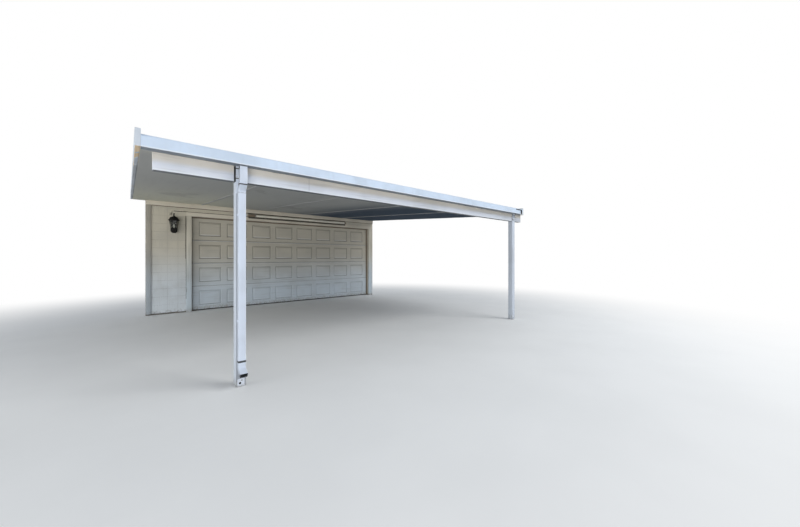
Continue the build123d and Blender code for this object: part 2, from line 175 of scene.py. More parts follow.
class NodeBoard:
    """Lays out the nodes of one material or world."""

    def __init__(self, holder: Union[bpy.types.Material, bpy.types.World]) -> None:
        """Starts with no nodes in the material or world."""
        holder.use_nodes = True
        self.tree = holder.node_tree
        self.tree.nodes.clear()

    @cached_property
    def coordinates(self) -> Socket:
        """Object coordinates of the surface."""
        return self.put("ShaderNodeTexCoord", {}, "Object")

    def put(
        self, kind: str, inputs: dict[object, object], output: object = 0, **settings: object
    ) -> Optional[Socket]:
        """Adds a node and fills its inputs.

        Args:
            kind: The node's type.
            inputs: A socket or a plain value for each input, by its name or number.
            output: Name or number of the output that is wanted.
            settings: The node's settings, by name.

        Returns:
            The output, or None where the node has none.
        """
        made = self.tree.nodes.new(kind)
        for name, value in settings.items():
            setattr(made, name, value)
        for key, value in inputs.items():
            if isinstance(value, Socket):
                self.tree.links.new(value, made.inputs[key])
            elif made.inputs[key].type == "RGBA":
                made.inputs[key].default_value = (*value, 1.0)
            else:
                made.inputs[key].default_value = value
        return made.outputs[output] if len(made.outputs) else None

    def stretched(self, stretch: Point, offset: Point) -> Socket:
        """Coordinates scaled by stretch and moved by offset."""
        inputs = {"Vector": self.coordinates, "Scale": stretch, "Location": offset}
        return self.put("ShaderNodeMapping", inputs, "Vector")

    def cloud(
        self,
        scale: float,
        detail: float = 3.0,
        stretch: Point = EVEN,
        offset: Point = (0.0, 0.0, 0.0),
        distortion: float = 0.0,
    ) -> Socket:
        """Cloudy noise.

        Args:
            scale: Clouds in a metre, or so.
            detail: Layers of finer noise.
            stretch: Scale along each axis.
            offset: Shift, so that two clouds differ.
            distortion: How much the noise is stirred.

        Returns:
            The noise, from 0 to 1.
        """
        inputs = {"Vector": self.stretched(stretch, offset), "Scale": scale}
        return self.put("ShaderNodeTexNoise", {**inputs, "Detail": detail, "Distortion": distortion})

    def cells(self, scale: float) -> Socket:
        """Distance to the middles of a pattern of cells."""
        return self.put("ShaderNodeTexVoronoi", {"Vector": self.coordinates, "Scale": scale}, "Distance")

    def band(self, value: Socket, low: float, high: float) -> Socket:
        """0 below low, 1 above high and smooth between; low may be the larger."""
        inputs = {"Value": value, "From Min": low, "From Max": high}
        return self.put("ShaderNodeMapRange", inputs, "Result", interpolation_type="SMOOTHSTEP")

    def sum(self, first: object, second: object, kind: str = "ADD") -> Socket:
        """Two values added, or put together by another kind of sum."""
        return self.put("ShaderNodeMath", {0: first, 1: second}, operation=kind)

    def times(self, first: object, second: object) -> Socket:
        """Two values multiplied."""
        return self.sum(first, second, "MULTIPLY")

    def blend(self, share: object, first: object, second: object) -> Socket:
        """Colour that goes from first to second with share."""
        inputs = {0: share, 6: first, 7: second}
        return self.put("ShaderNodeMix", inputs, 2, data_type="RGBA", clamp_factor=True)

    def stained(
        self, colour: object, tint: Colour, pattern: Socket, low: float, high: float, share: object
    ) -> Socket:
        """A colour that is stained where a pattern is strong.

        Args:
            colour: The colour beneath.
            tint: The stain's colour.
            pattern: The pattern.
            low, high: Where in the pattern the stain starts and is full.
            share: How much it covers where it is full.

        Returns:
            The stained colour.
        """
        return self.blend(self.times(self.band(pattern, low, high), share), colour, tint)

    def with_highlight_and_flakes(self, colour: object) -> Socket:
        """The colour, paler where the mesh carries painted highlights and flakes of paint."""
        return self.blend(self.times(self.mark("highlight_and_flakes"), 0.8), colour, PALE_HIGHLIGHT_AND_FLAKE)

    def place(self, along: Along) -> Socket:
        """The coordinate along one direction, in metres."""
        return self.put("ShaderNodeSeparateXYZ", {0: self.coordinates}, along.value)

    def mark(self, name: str) -> Socket:
        """A number that the mesh itself carries."""
        return self.put("ShaderNodeAttribute", {}, "Fac", attribute_name=name)

    def seen(self) -> Socket:
        """1 for what is seen straight, in gloss or through glass, and 0 for what lights."""
        rays = self.put("ShaderNodeLightPath", {}, "Is Camera Ray").node.outputs
        straight = self.sum(rays["Is Camera Ray"], rays["Is Glossy Ray"], "MAXIMUM")
        return self.sum(straight, rays["Is Transmission Ray"], "MAXIMUM")

    def surface(
        self, colour: object, roughness: object, relief: Optional[Socket], depth: float, **constants: float
    ) -> None:
        """Ends a material in its shader.

        Args:
            colour: Colour, or the socket that gives it.
            roughness: Roughness, or the socket that gives it.
            relief: Height of the surface's relief, or None where it is smooth.
            depth: How deep the relief is, in metres.
            constants: Other inputs of the shader, by name with _ for a space.
        """
        inputs = {"Base Color": colour, "Roughness": roughness}
        if relief is not None:
            bump = {"Distance": depth, "Strength": 1.0, "Height": relief}
            inputs["Normal"] = self.put("ShaderNodeBump", bump, "Normal")
        for name, value in constants.items():
            inputs[name.replace("_", " ")] = value
        shader = self.put("ShaderNodeBsdfPrincipled", inputs)
        self.put("ShaderNodeOutputMaterial", {"Surface": shader})


def along_grain(grain: Along, share: float) -> Point:
    """Pattern scale that has only that share in the grain's direction."""
    return tuple(share if axis is grain else 1.0 for axis in Along)


MADE: dict[str, bpy.types.Material] = {}

# Pale colour of painted highlights and of real flakes of paint.
PALE_HIGHLIGHT_AND_FLAKE = srgb(232, 237, 243)
TAN_WOOD = srgb(252, 226, 188)
GREY_WOOD = srgb(128, 120, 108)
# Bluish white, a painted tint of sky light on the outdoor whites.
WHITE_PAINT = srgb(206, 214, 225)
RAIN_DIRT = srgb(150, 150, 146)
PRIMER = srgb(112, 104, 96)
BARE_SHINGLE = srgb(130, 122, 108)
FOOT_SPLASH = srgb(118, 112, 104)
GREYED_LUMBER = srgb(120, 112, 100)


@dataclass(frozen=True)
class Finish:
    """What a surface is painted or made of."""

    name: str

    def material(self) -> bpy.types.Material:
        """Gives the finish's material, built the first time it is asked for.

        Returns:
            The material.
        """
        if self.name not in MADE:
            MADE[self.name] = bpy.data.materials.new(self.name)
            self.lay(NodeBoard(MADE[self.name]))
        return MADE[self.name]

    def lay(self, board: NodeBoard) -> None:
        """Lays out the finish's nodes on a board."""
        raise NotImplementedError


@dataclass(frozen=True)
class TimberPaint(Finish):
    """Brushed paint on timber: grain, peeling to the wood, rain dirt and splashes, with painted shade in
    marked creases and painted light in its upper and lower tones.
    """

    paint: Colour
    wood: Colour
    soil: Colour
    grain: Along
    peeling: float = 0.2
    grime: float = 0.3
    splash: float = 0.0
    roughness: float = 0.62
    upper_painted_light: Optional[Colour] = None
    painted_light_fade: Flat = (0.25, 1.5)
    shade_and_dirt_strength: float = 0.8
    shade_and_dirt_strength_low: float = 1.0

    def lay(self, board: NodeBoard) -> None:
        """Lays out the paint, what soils it, what has peeled, and its painted light and shade.

        Args:
            board: The material\'s nodes.
        """
        fibres = board.cloud(34, 4, along_grain(self.grain, 0.05), (3, 1, 7))
        brush = board.cloud(90, 2, along_grain(self.grain, 0.03))
        slow = board.cloud(1.6, 3, offset=(5, 2, 1))
        patches = board.cloud(9, 4, along_grain(self.grain, 0.35), (1, 8, 2), 0.4)
        patches = board.sum(patches, board.times(board.mark("worn"), 0.4))
        level = board.place(Along.Z)
        colour: object = self.paint
        # Painted light and shade: the colour above the fade stands for how light falls high up, the paint
        # below it for how it falls low down.
        if self.upper_painted_light:
            colour = board.blend(board.band(level, *self.painted_light_fade), self.paint, self.upper_painted_light)
        colour = board.stained(colour, self.soil, slow, 0.42, 0.68, self.grime)
        colour = board.stained(colour, self.soil, fibres, 0.52, 0.75, 0.25)
        colour = board.with_highlight_and_flakes(colour)
        chips = board.band(patches, 0.80 - 0.16 * self.peeling, 0.84 - 0.16 * self.peeling)
        worn_edge = board.times(board.mark("edge"), board.band(patches, 0.66 - 0.2 * self.peeling, 0.72))
        bare = board.sum(chips, worn_edge, "MAXIMUM")
        wood = board.blend(board.band(fibres, 0.35, 0.7), self.wood, darker(self.wood, 0.7))
        colour = board.blend(bare, colour, wood)
        # Painted shade: faces that the mesh marks go dark in creases, gaps and undersides; part of the mark
        # is dirt and dark joints. It is weaker near the ground where that is asked for.
        shade_and_dirt_strength = board.times(board.mark("seam"), self.shade_and_dirt_strength)
        if self.shade_and_dirt_strength_low < 1.0:
            risen = board.times(board.band(level, 0.2, 1.5), 1.0 - self.shade_and_dirt_strength_low)
            shade_and_dirt_strength = board.times(shade_and_dirt_strength, board.sum(risen, self.shade_and_dirt_strength_low))
        colour = board.blend(shade_and_dirt_strength, colour, darker(self.soil, 0.1))
        if self.splash:
            spots = board.band(board.cloud(26, 5, offset=(2, 2, 2)), 0.40, 0.62)
            share = board.sum(board.times(spots, 0.6), 0.25)
            colour = board.stained(colour, self.soil, level, self.splash, 0.0, share)
        height = board.sum(board.times(fibres, 0.5), board.times(brush, 0.25))
        height = board.sum(height, board.times(bare, -0.8))
        rough = board.sum(board.times(bare, 0.25), self.roughness)
        board.surface(colour, rough, height, 0.0012)


@dataclass(frozen=True)
class CeilingPaint(Finish):
    """Flat paint on ceiling sheets, stained, with painted light paler at the back left and painted shade
    darker at the right.
    """

    paint: Colour
    pale: Colour
    stain: Colour
    painted_shade_tone: Colour

    def lay(self, board: NodeBoard) -> None:
        """Lays out the three tones of the paint, which are painted light and shade, its stains and its
        streaks.

        Args:
            board: The material\'s nodes.
        """
        slow = board.cloud(0.55, 2, offset=(2, 7, 0), distortion=0.5)
        spread = board.cloud(1.5, 3, (1.0, 0.7, 1.0), (6, 1, 0), 0.4)
        rings = board.sum(board.band(spread, 0.66, 0.68), board.band(spread, 0.68, 0.72), "SUBTRACT")
        streaks = board.cloud(16, 3, (1.0, 0.06, 1.0))
        fine = board.cloud(120, 2)
        across = board.place(Along.X)
        # Painted light and shade: paler towards the back left and darker towards the right, as the light
        # falls under the roof.
        painted_light_back_left = board.times(board.band(board.place(Along.Y), -1.2, 2.2), board.band(across, -0.6, -2.0))
        inward = board.sum(across, board.times(slow, 0.5))
        colour = board.blend(board.times(painted_light_back_left, 0.9), self.paint, self.pale)
        colour = board.blend(board.band(inward, 0.0, 1.5), colour, self.painted_shade_tone)
        colour = board.stained(colour, self.stain, spread, 0.60, 0.74, 0.22)
        colour = board.blend(board.times(rings, 0.15), colour, self.stain)
        colour = board.stained(colour, self.stain, streaks, 0.5, 0.75, 0.08)
        height = board.sum(board.times(streaks, 0.4), board.times(fine, 0.3))
        board.surface(colour, 0.9, height, 0.0008, Specular_IOR_Level=0.05)


@dataclass(frozen=True)
class Enamel(Finish):
    """Factory enamel on sheet metal, dusty, with runs of dirt, small chips and painted shade in marked
    creases.
    """

    enamel: Colour
    dust: Colour
    dirt: float = 0.35
    splash: float = 0.0
    roughness: float = 0.38
    chips: float = 0.3
    shade_and_dirt_strength: float = 0.97

    def lay(self, board: NodeBoard) -> None:
        """Lays out the enamel, its dust and runs, its chips and the painted shade in its creases.

        Args:
            board: The material\'s nodes.
        """
        runs = board.cloud(13, 4, along_grain(Along.Z, 0.09), (4, 0, 2))
        film = board.cloud(3.1, 4, offset=(0, 3, 5))
        specks = board.cells(210)
        dents = board.cloud(2.3, 1, offset=(9, 9, 9))
        patches = board.cloud(40, 3, offset=(7, 1, 3))
        colour = board.stained(self.enamel, self.dust, film, 0.40, 0.70, self.dirt)
        colour = board.stained(colour, self.dust, runs, 0.55, 0.80, 0.5 * self.dirt)
        colour = board.stained(colour, self.dust, specks, 0.12, 0.03, 0.25 * self.dirt)
        colour = board.with_highlight_and_flakes(colour)
        worn = board.times(board.mark("edge"), board.band(patches, 0.70 - 0.2 * self.chips, 0.74))
        colour = board.blend(worn, colour, PRIMER)
        # Painted shade: faces that the mesh marks dark go almost black, as in deep shade.
        colour = board.blend(board.times(board.mark("seam"), self.shade_and_dirt_strength), colour, darker(self.dust, 0.08))
        if self.splash:
            spots = board.band(board.cloud(30, 5), 0.35, 0.6)
            share = board.sum(board.times(spots, 0.5), 0.2)
            colour = board.stained(colour, self.dust, board.place(Along.Z), self.splash, 0.0, share)
        rough = board.sum(board.times(board.band(film, 0.35, 0.7), 0.2), self.roughness)
        height = board.sum(board.times(dents, 3.0), board.times(specks, 0.05))
        board.surface(colour, rough, height, 0.0012)


@dataclass(frozen=True)
class Steel(Finish):
    """Zinc-coated or bare steel, spangled and dulled."""

    bright: Colour
    dull: Colour
    rust: Colour
    rusting: float

    def lay(self, board: NodeBoard) -> None:
        """Lays out the spangle, the film over it and the rust.

        Args:
            board: The material\'s nodes.
        """
        film = board.cloud(14, 4)
        patches = board.cloud(30, 4, offset=(1, 2, 3))
        colour = board.blend(board.band(board.cells(95), 0.2, 0.7), self.bright, self.dull)
        colour = board.stained(colour, self.dull, film, 0.4, 0.7, 0.5)
        rusty = board.band(patches, 0.78 - 0.3 * self.rusting, 0.84 - 0.2 * self.rusting)
        colour = board.blend(rusty, colour, self.rust)
        rough = board.sum(board.times(rusty, 0.3), board.sum(board.times(film, 0.2), 0.35))
        board.surface(colour, rough, film, 0.0006, Metallic=0.7)


@dataclass(frozen=True)
class ShinglePaint(Finish):
    """Chalky paint on combed wall shingles, soiled below, with painted light: warmer under the eave and
    bluer low down.
    """

    paint: Colour
    warm_painted_light: Colour
    soil: Colour

    def lay(self, board: NodeBoard) -> None:
        """Lays out the combed paint with its painted light, its bare patches, the splashes at the foot and
        the marked dark faces.

        Args:
            board: The material\'s nodes.
        """
        combed = board.cloud(150, 2, (1.0, 1.0, 0.02))
        slow = board.cloud(2.0, 4, offset=(3, 3, 1))
        patches = board.cloud(18, 5, (1.0, 1.0, 0.6))
        level = board.place(Along.Z)
        # Painted light: the warm colour high up stands for bounce light under the eave, the bluer paint low
        # down for sky light.
        colour = board.blend(board.band(level, 0.45, 1.6), self.paint, self.warm_painted_light)
        colour = board.stained(colour, self.soil, slow, 0.42, 0.7, 0.3)
        colour = board.stained(colour, self.soil, combed, 0.5, 0.8, 0.22)
        colour = board.stained(colour, BARE_SHINGLE, patches, 0.72, 0.80, 0.35)
        spots = board.band(board.cloud(22, 5, offset=(5, 5, 5)), 0.42, 0.62)
        colour = board.stained(colour, FOOT_SPLASH, level, 0.13, 0.02, board.times(spots, 0.45))
        # Darker where the mesh marks it: dark long joints, with painted shade at their sides.
        colour = board.blend(board.times(board.mark("seam"), 0.75), colour, darker(self.soil, 0.1))
        height = board.sum(board.times(combed, 0.9), board.times(patches, 0.2))
        board.surface(colour, 0.8, height, 0.0016)


@dataclass(frozen=True)
class RollRoofing(Finish):
    """Light granules on felt, with rain tracks and dust in the laps."""

    granule: Colour
    shadow: Colour
    soil: Colour

    def lay(self, board: NodeBoard) -> None:
        """Lays out the granules and the dirt that the rain has left.

        Args:
            board: The material\'s nodes.
        """
        grit = board.cells(420)
        slow = board.cloud(0.8, 5, (1.0, 0.4, 1.0), distortion=0.6)
        tracks = board.cloud(7, 4, (1.0, 0.08, 1.0), (2, 0, 0))
        colour = board.blend(board.band(grit, 0.15, 0.6), self.shadow, self.granule)
        colour = board.stained(colour, self.soil, slow, 0.40, 0.68, 0.6)
        colour = board.stained(colour, self.soil, tracks, 0.52, 0.75, 0.4)
        board.surface(colour, 0.92, board.sum(grit, board.times(slow, 0.6)), 0.0015)


@dataclass(frozen=True)
class SawnTimber(Finish):
    """Unpainted framing lumber or sheathing, greyed with age."""

    light: Colour
    dark: Colour
    grain: Along

    def lay(self, board: NodeBoard) -> None:
        """Lays out the grain and the greyed places.

        Args:
            board: The material\'s nodes.
        """
        fibres = board.cloud(40, 4, along_grain(self.grain, 0.05), distortion=0.8)
        colour = board.blend(board.band(fibres, 0.35, 0.68), self.light, self.dark)
        colour = board.stained(colour, GREYED_LUMBER, board.cloud(2.5, 3), 0.4, 0.7, 0.4)
        board.surface(colour, 0.85, fibres, 0.0012)


@dataclass(frozen=True)
class PlainFinish(Finish):
    """A moulded or cast surface with a little dust and wear."""

    body: Colour
    dust: Colour
    roughness: float
    dusting: float = 0.3
    metallic: float = 0.0
    shine: float = 0.5

    def lay(self, board: NodeBoard) -> None:
        """Lays out the dust, the worn edges and a fine grain.

        Args:
            board: The material\'s nodes.
        """
        film = board.cloud(9, 4)
        colour = board.stained(self.body, self.dust, film, 0.40, 0.72, self.dusting)
        worn = board.times(board.mark("edge"), board.band(board.cloud(55, 3), 0.55, 0.66))
        colour = board.blend(board.times(worn, 0.6), colour, self.dust)
        rough = board.sum(board.times(film, 0.2), self.roughness)
        constants = {"Metallic": self.metallic, "Specular_IOR_Level": self.shine}
        board.surface(colour, rough, board.cloud(160, 2), 0.0004, **constants)


@dataclass(frozen=True)
class DustyGlass(Finish):
    """Clear glass with a film of dust that thickens towards its foot."""

    tint: Colour
    dust: Colour
    foot: float
    top: float

    def lay(self, board: NodeBoard) -> None:
        """Lays out the film of dust.

        Args:
            board: The material\'s nodes.
        """
        film = board.band(board.cloud(26, 4), 0.35, 0.7)
        low = board.band(board.place(Along.Z), self.top, self.foot)
        share = board.sum(board.times(low, 0.08), board.times(film, 0.10))
        rough = board.sum(board.times(share, 0.5), 0.06)
        colour = board.blend(share, self.tint, self.dust)
        board.surface(colour, rough, None, 0.0, Transmission_Weight=0.96, IOR=1.3)


@dataclass(frozen=True)
class StudioFloor(Finish):
    """Pale studio floor that runs out to white behind the object, for the camera only."""

    pale: Colour
    bounce: Colour
    near: float
    far: float

    def lay(self, board: NodeBoard) -> None:
        """Lays out the floor that is seen, the one that lights, and the white beyond.

        Args:
            board: The material\'s nodes.
        """
        away = board.put("ShaderNodeVectorMath", {0: board.coordinates}, "Value", operation="LENGTH")
        seen = board.seen()
        mottle = board.band(board.cloud(1.3, 4), 0.3, 0.7)
        top = board.blend(mottle, self.pale, darker(self.pale, 0.97))
        matt = board.put("ShaderNodeBsdfDiffuse", {"Color": board.blend(seen, self.bounce, top)})
        white = board.put("ShaderNodeEmission", {"Strength": 1.0})
        beyond = board.times(board.band(away, self.near, self.far), seen)
        both = board.put("ShaderNodeMixShader", {0: beyond, 1: matt, 2: white})
        board.put("ShaderNodeOutputMaterial", {"Surface": both})


POST_PAINT = TimberPaint(
    "post_paint", WHITE_PAINT, GREY_WOOD, RAIN_DIRT, Along.Z, grime=0.2, splash=0.12, shade_and_dirt_strength=0.93
)
# Painted light: cream above the fade is the shade under the gutter, bluish white below is sky light.
BEAM_PAINT = TimberPaint(
    "beam_paint",
    srgb(226, 231, 240),
    GREY_WOOD,
    RAIN_DIRT,
    Along.X,
    peeling=0.1,
    grime=0.2,
    upper_painted_light=srgb(230, 224, 214),
    painted_light_fade=(2.0, 2.055),
)
# Bluish white, a painted tint of sky light.
RAKE_PAINT = TimberPaint("rake_paint", srgb(204, 212, 222), TAN_WOOD, RAIN_DIRT, Along.Y, 0.1, 0.35)
FASCIA_PAINT = TimberPaint("fascia_paint", srgb(206, 208, 208), GREY_WOOD, RAIN_DIRT, Along.X, 0.2, 0.35)
# The pale and dark tones of the ceiling are painted light and shade.
CEILING = CeilingPaint(
    "ceiling_paint", srgb(190, 190, 186), srgb(230, 228, 210), srgb(140, 137, 132), srgb(84, 96, 110)
)
BATTEN_PAINT = TimberPaint(
    "batten_paint", srgb(186, 186, 186), GREY_WOOD, srgb(150, 146, 132), Along.Y, 0.0, 0.25
)
FRAMING = SawnTimber("framing_timber", srgb(198, 168, 124), srgb(150, 118, 80), Along.Y)
DECKING = SawnTimber("deck_sheathing", srgb(190, 162, 120), srgb(142, 112, 76), Along.X)
ROOFING = RollRoofing("roll_roofing", srgb(206, 205, 198), srgb(132, 130, 124), srgb(142, 136, 122))
# The bluish whites of the gutter, downspout and post bases carry a painted tint of sky light.
GUTTER_ENAMEL = Enamel("gutter_enamel", srgb(207, 222, 240), srgb(150, 154, 156), 0.2)
PIPE_ENAMEL = Enamel("downspout_enamel", srgb(212, 221, 235), srgb(152, 156, 160), 0.2, 0.12)
BASE_PAINT = Enamel("post_base_paint", srgb(218, 224, 234), srgb(146, 144, 138), 0.15, 0.03, 0.55, 0.7)
ZINC = Steel("zinc_coat", srgb(176, 180, 182), srgb(132, 136, 138), srgb(120, 84, 58), 0.2)
BOLT = Steel("bolt_heads", srgb(150, 150, 146), srgb(104, 100, 94), srgb(106, 70, 46), 0.6)
# Darker at the foot: painted shade of the gap under the shingles, with ground dirt.
WALL_BOARD = TimberPaint(
    "wall_board",
    srgb(98, 96, 92),
    GREY_WOOD,
    srgb(140, 132, 118),
    Along.Z,
    peeling=0.05,
    grime=0.35,
    upper_painted_light=srgb(186, 180, 168),
    painted_light_fade=(0.025, 0.05),
)
SIDING = ShinglePaint("siding_paint", srgb(214, 221, 226), srgb(202, 195, 178), srgb(158, 157, 150))
# Painted shade: the backing behind the shingles is darker for the shade in the gaps between them.
SIDING_SHADE = ShinglePaint(
    "siding_backing_painted_shade", srgb(150, 156, 160), srgb(150, 144, 128), srgb(120, 118, 110)
)
# Painted light: warm above the fade for bounce light high on the wall, bluish below for sky light.
TRIM_UP = TimberPaint(
    "trim_paint",
    srgb(196, 208, 216),
    GREY_WOOD,
    srgb(150, 146, 136),
    Along.Z,
    peeling=0.05,
    grime=0.25,
    splash=0.1,
    upper_painted_light=srgb(206, 200, 184),
    painted_light_fade=(0.45, 1.6),
)
# Painted light, as on the trim: warm above the fade, bluish below.
CORNER_PAINT = TimberPaint(
    "corner_board_paint",
    srgb(166, 175, 182),
    GREY_WOOD,
    srgb(138, 136, 128),
    Along.Z,
    peeling=0.1,
    splash=0.1,
    upper_painted_light=srgb(164, 158, 146),
    painted_light_fade=(0.45, 1.6),
)
# Painted shade: dark brown for the door stops in the shade of the head, and for the gap under the frieze.
STOP_PAINTED_SHADE = TimberPaint("door_stop_painted_shade", srgb(116, 104, 88), GREY_WOOD, srgb(72, 62, 50), Along.Z, 0.0)
TRIM_ACROSS = TimberPaint(
    "frieze_paint", srgb(210, 202, 186), GREY_WOOD, srgb(156, 148, 130), Along.X, 0.0, shade_and_dirt_strength=0.96
)
# Painted light: warm above the fade for bounce light, bluish below for sky light; its marked creases darken
# less near the ground.
DOOR = TimberPaint(
    "door_enamel",
    srgb(203, 214, 223),
    srgb(140, 126, 104),
    srgb(146, 144, 136),
    Along.X,
    peeling=0.0,
    grime=0.2,
    splash=0.16,
    roughness=0.5,
    upper_painted_light=srgb(190, 184, 169),
    shade_and_dirt_strength=0.72,
    shade_and_dirt_strength_low=0.5,
)
SEAL = PlainFinish("seal_rubber", srgb(34, 34, 34), srgb(92, 88, 80), 0.75, 0.5)
# Painted shade: near-black discs and sheets for the depth of bolt holes, beside the left casing, under the
# strip light and inside the lantern.
SHADE_BLACK = PlainFinish("painted_shade_black", srgb(10, 10, 10), srgb(24, 22, 20), 0.9, shine=0.05)
LANTERN_BLACK = PlainFinish("lantern_black", srgb(10, 10, 9), srgb(50, 47, 40), 0.55, 0.2, shine=0.2)
CONDUIT_PAINT = PlainFinish("conduit_paint", srgb(212, 205, 188), srgb(132, 124, 108), 0.5, 0.4)
LIGHT_ENAMEL = PlainFinish("light_enamel", srgb(224, 218, 200), srgb(160, 150, 128), 0.45, 0.35)
HOLDER = PlainFinish("light_holder", srgb(126, 112, 94), srgb(124, 112, 94), 0.5)
TUBE = PlainFinish("light_tube", srgb(240, 236, 222), srgb(176, 168, 150), 0.18)
BULB = PlainFinish("lantern_bulb", srgb(244, 243, 236), srgb(214, 210, 198), 0.25, 0.2)
NAIL = PlainFinish("nail_heads", srgb(140, 136, 124), srgb(104, 88, 70), 0.6, 0.5, 0.3)
SEALANT = PlainFinish("black_sealant", srgb(12, 13, 18), srgb(40, 40, 42), 0.85, 0.2, shine=0.1)
# Painted shadow: dark strips under the post ties, beside the left casing, round the conduit and under the
# frieze.
SHADOW_PAINT = PlainFinish("painted_shadow_gap", srgb(52, 49, 42), srgb(84, 78, 66), 0.9, shine=0.05)


# Making meshes


class Workpiece:
    """One piece under construction, with the marks that its finish reads, painted light and shade among
    them.
    """

    def __init__(self) -> None:
        """Starts with an empty mesh and its marks."""
        self.mesh = bmesh.new()
        # The second mark darkens faces with painted shade in creases, gaps and undersides, along with some
        # dirt and dark joints; the fourth lightens faces with painted highlights, along with real flakes of
        # paint.
        marks = [self.mesh.faces.layers.float.new(name) for name in ("edge", "seam", "worn", "highlight_and_flakes")]
        self.edge, self.seam, self.worn, self.highlight_and_flakes = marks

    def loft(self, rings: Sequence[Sequence[Point]], capped: bool = True) -> None:
        """Skin through rings that have the same number of points.

        Args:
            rings: Closed rings, in order.
            capped: Whether both ends are closed.
        """
        layers = [[self.mesh.verts.new(point) for point in ring] for ring in rings]
        count = len(layers[0])
        for near, far in zip(layers, layers[1:]):
            for index in range(count):
                following = (index + 1) % count
                self.mesh.faces.new((near[index], near[following], far[following], far[index]))
        if capped:
            self.mesh.faces.new(list(reversed(layers[0])))
            self.mesh.faces.new(layers[-1])

    def bar(self, outline: Sequence[Flat], along: Along, stops: Sequence[float]) -> None:
        """Bar with that outline across its run.

        Args:
            outline: Points across the run: (y, z), (x, z) or (x, y).
            along: Direction of the run.
            stops: Places of its rings along the run.
        """
        at = along.value
        self.loft([[(*spot[:at], stop, *spot[at:]) for spot in outline] for stop in stops])

    def block(self, x: Flat, y: Flat, z: Flat, longest: float = 100.0) -> None:
        """Square-cut block between the given faces, ringed along its length where that is long."""
        self.bar(rectangle(y, z), Along.X, steps_between(*x, longest))

    def soften(self, width: float, segments: int = 2, sharpest: float = 35.0) -> None:
        """Rounds the sharp edges and marks them for wear.

        Args:
            width: Width of the rounding.
            segments: Faces across it.
            sharpest: Edges that turn by more than this angle are rounded, in degrees.
        """
        bmesh.ops.recalc_face_normals(self.mesh, faces=self.mesh.faces)
        limit = math.radians(sharpest)
        sharp = [e for e in self.mesh.edges if len(e.link_faces) == 2 and e.calc_face_angle(0.0) > limit]
        made = bmesh.ops.bevel(
            self.mesh,
            geom=sharp,
            offset=width,
            segments=segments,
            profile=0.6,
            affect="EDGES",
            clamp_overlap=True,
        )
        for face in made["faces"]:
            face[self.edge] = 1.0

    def weld(self) -> None:
        """Joins the points that lie on each other."""
        bmesh.ops.remove_doubles(self.mesh, verts=self.mesh.verts, dist=WELD)

    def brand(self, layer: bmesh.types.BMLayerItem, judge: Callable[[Vector, Vector], float]) -> None:
        """Marks faces by their middle and the way that they look.

        Args:
            layer: The mark.
            judge: Gives the mark's value from a face's middle and normal.
        """
        bmesh.ops.recalc_face_normals(self.mesh, faces=self.mesh.faces)
        for face in self.mesh.faces:
            value = judge(face.calc_center_median(), face.normal)
            if value > 0.0:
                face[layer] = value

    def plate(self, outline: Sequence[Flat], holes: Sequence[Sequence[Flat]], y: Flat) -> None:
        """Upright plate with holes through it.

        Args:
            outline: Outer points, as (x, z).
            holes: Points of each hole, as (x, z).
            y: Its front and back faces.
        """
        loops = [[Vector((x, z, 0.0)) for x, z in loop] for loop in (outline, *holes)]
        spots = [spot for loop in loops for spot in loop]
        front, back = ([self.mesh.verts.new((spot.x, depth, spot.y)) for spot in spots] for depth in y)
        for cut in geometry.tessellate_polygon(loops):
            self.mesh.faces.new([front[index] for index in cut])
            self.mesh.faces.new([back[index] for index in reversed(cut)])
        start = 0
        for loop in loops:
            for index in range(len(loop)):
                here, onward = start + index, start + (index + 1) % len(loop)
                self.mesh.faces.new((front[here], front[onward], back[onward], back[here]))
            start += len(loop)

    def reshape(self, mover: Callable[[Vector], Vector]) -> None:
        """Moves every vertex to where mover puts it."""
        for vertex in self.mesh.verts:
            vertex.co = mover(vertex.co.copy())

    def finish(
        self, name: str, finish: Finish, slot: str, nodes: Sequence[str] = (), smooth: float = 40.0
    ) -> None:
        """Ends the piece: its mesh, finish, body and nodes.

        Args:
            name: The piece's name.
            finish: What it is painted or made of.
            slot: Not used.
            nodes: CAD nodes that it stands for.
            smooth: Edges under this angle are shaded round, in degrees.
        """
        bmesh.ops.recalc_face_normals(self.mesh, faces=self.mesh.faces)
        data = bpy.data.meshes.new(name)
        self.mesh.to_mesh(data)
        self.mesh.free()
        data.shade_smooth()
        data.set_sharp_from_angle(angle=math.radians(smooth))
        settle(bpy.data.objects.new(name, data), finish, nodes)


def settle(piece: Piece, finish: Finish, nodes: Sequence[str]) -> None:
    """Puts a made object in the scene with its finish and what the frame needs to know.

    Args:
        piece: The object, with its place in its mesh.
        finish: What it is painted or made of.
        nodes: CAD nodes that it stands for.
    """
    bpy.context.scene.collection.objects.link(piece)
    coat(piece, finish)
    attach(piece, "root")
    if nodes:
        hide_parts(*nodes)
    LOG.info("%s: %d faces, for %s", piece.name, len(piece.data.polygons), ", ".join(nodes) or "no node")


def coat(piece: Piece, finish: Finish) -> None:
    """Gives an object its only material."""
    piece.data.materials.clear()
    piece.data.materials.append(finish.material())


def dress(node: str, finish: Finish) -> None:
    """Gives a CAD node that stays in view its finish."""
    coat(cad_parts[node], finish)
    LOG.info("%s: kept from the frame", node)


# Repeated small things


@dataclass(frozen=True)
class Head:
    """Head of a nail, screw or bolt; its crown is its top's share of its foot's radius."""

    radius: float
    height: float
    sides: int = 6
    crown: float = 0.7
    seed: int = 1


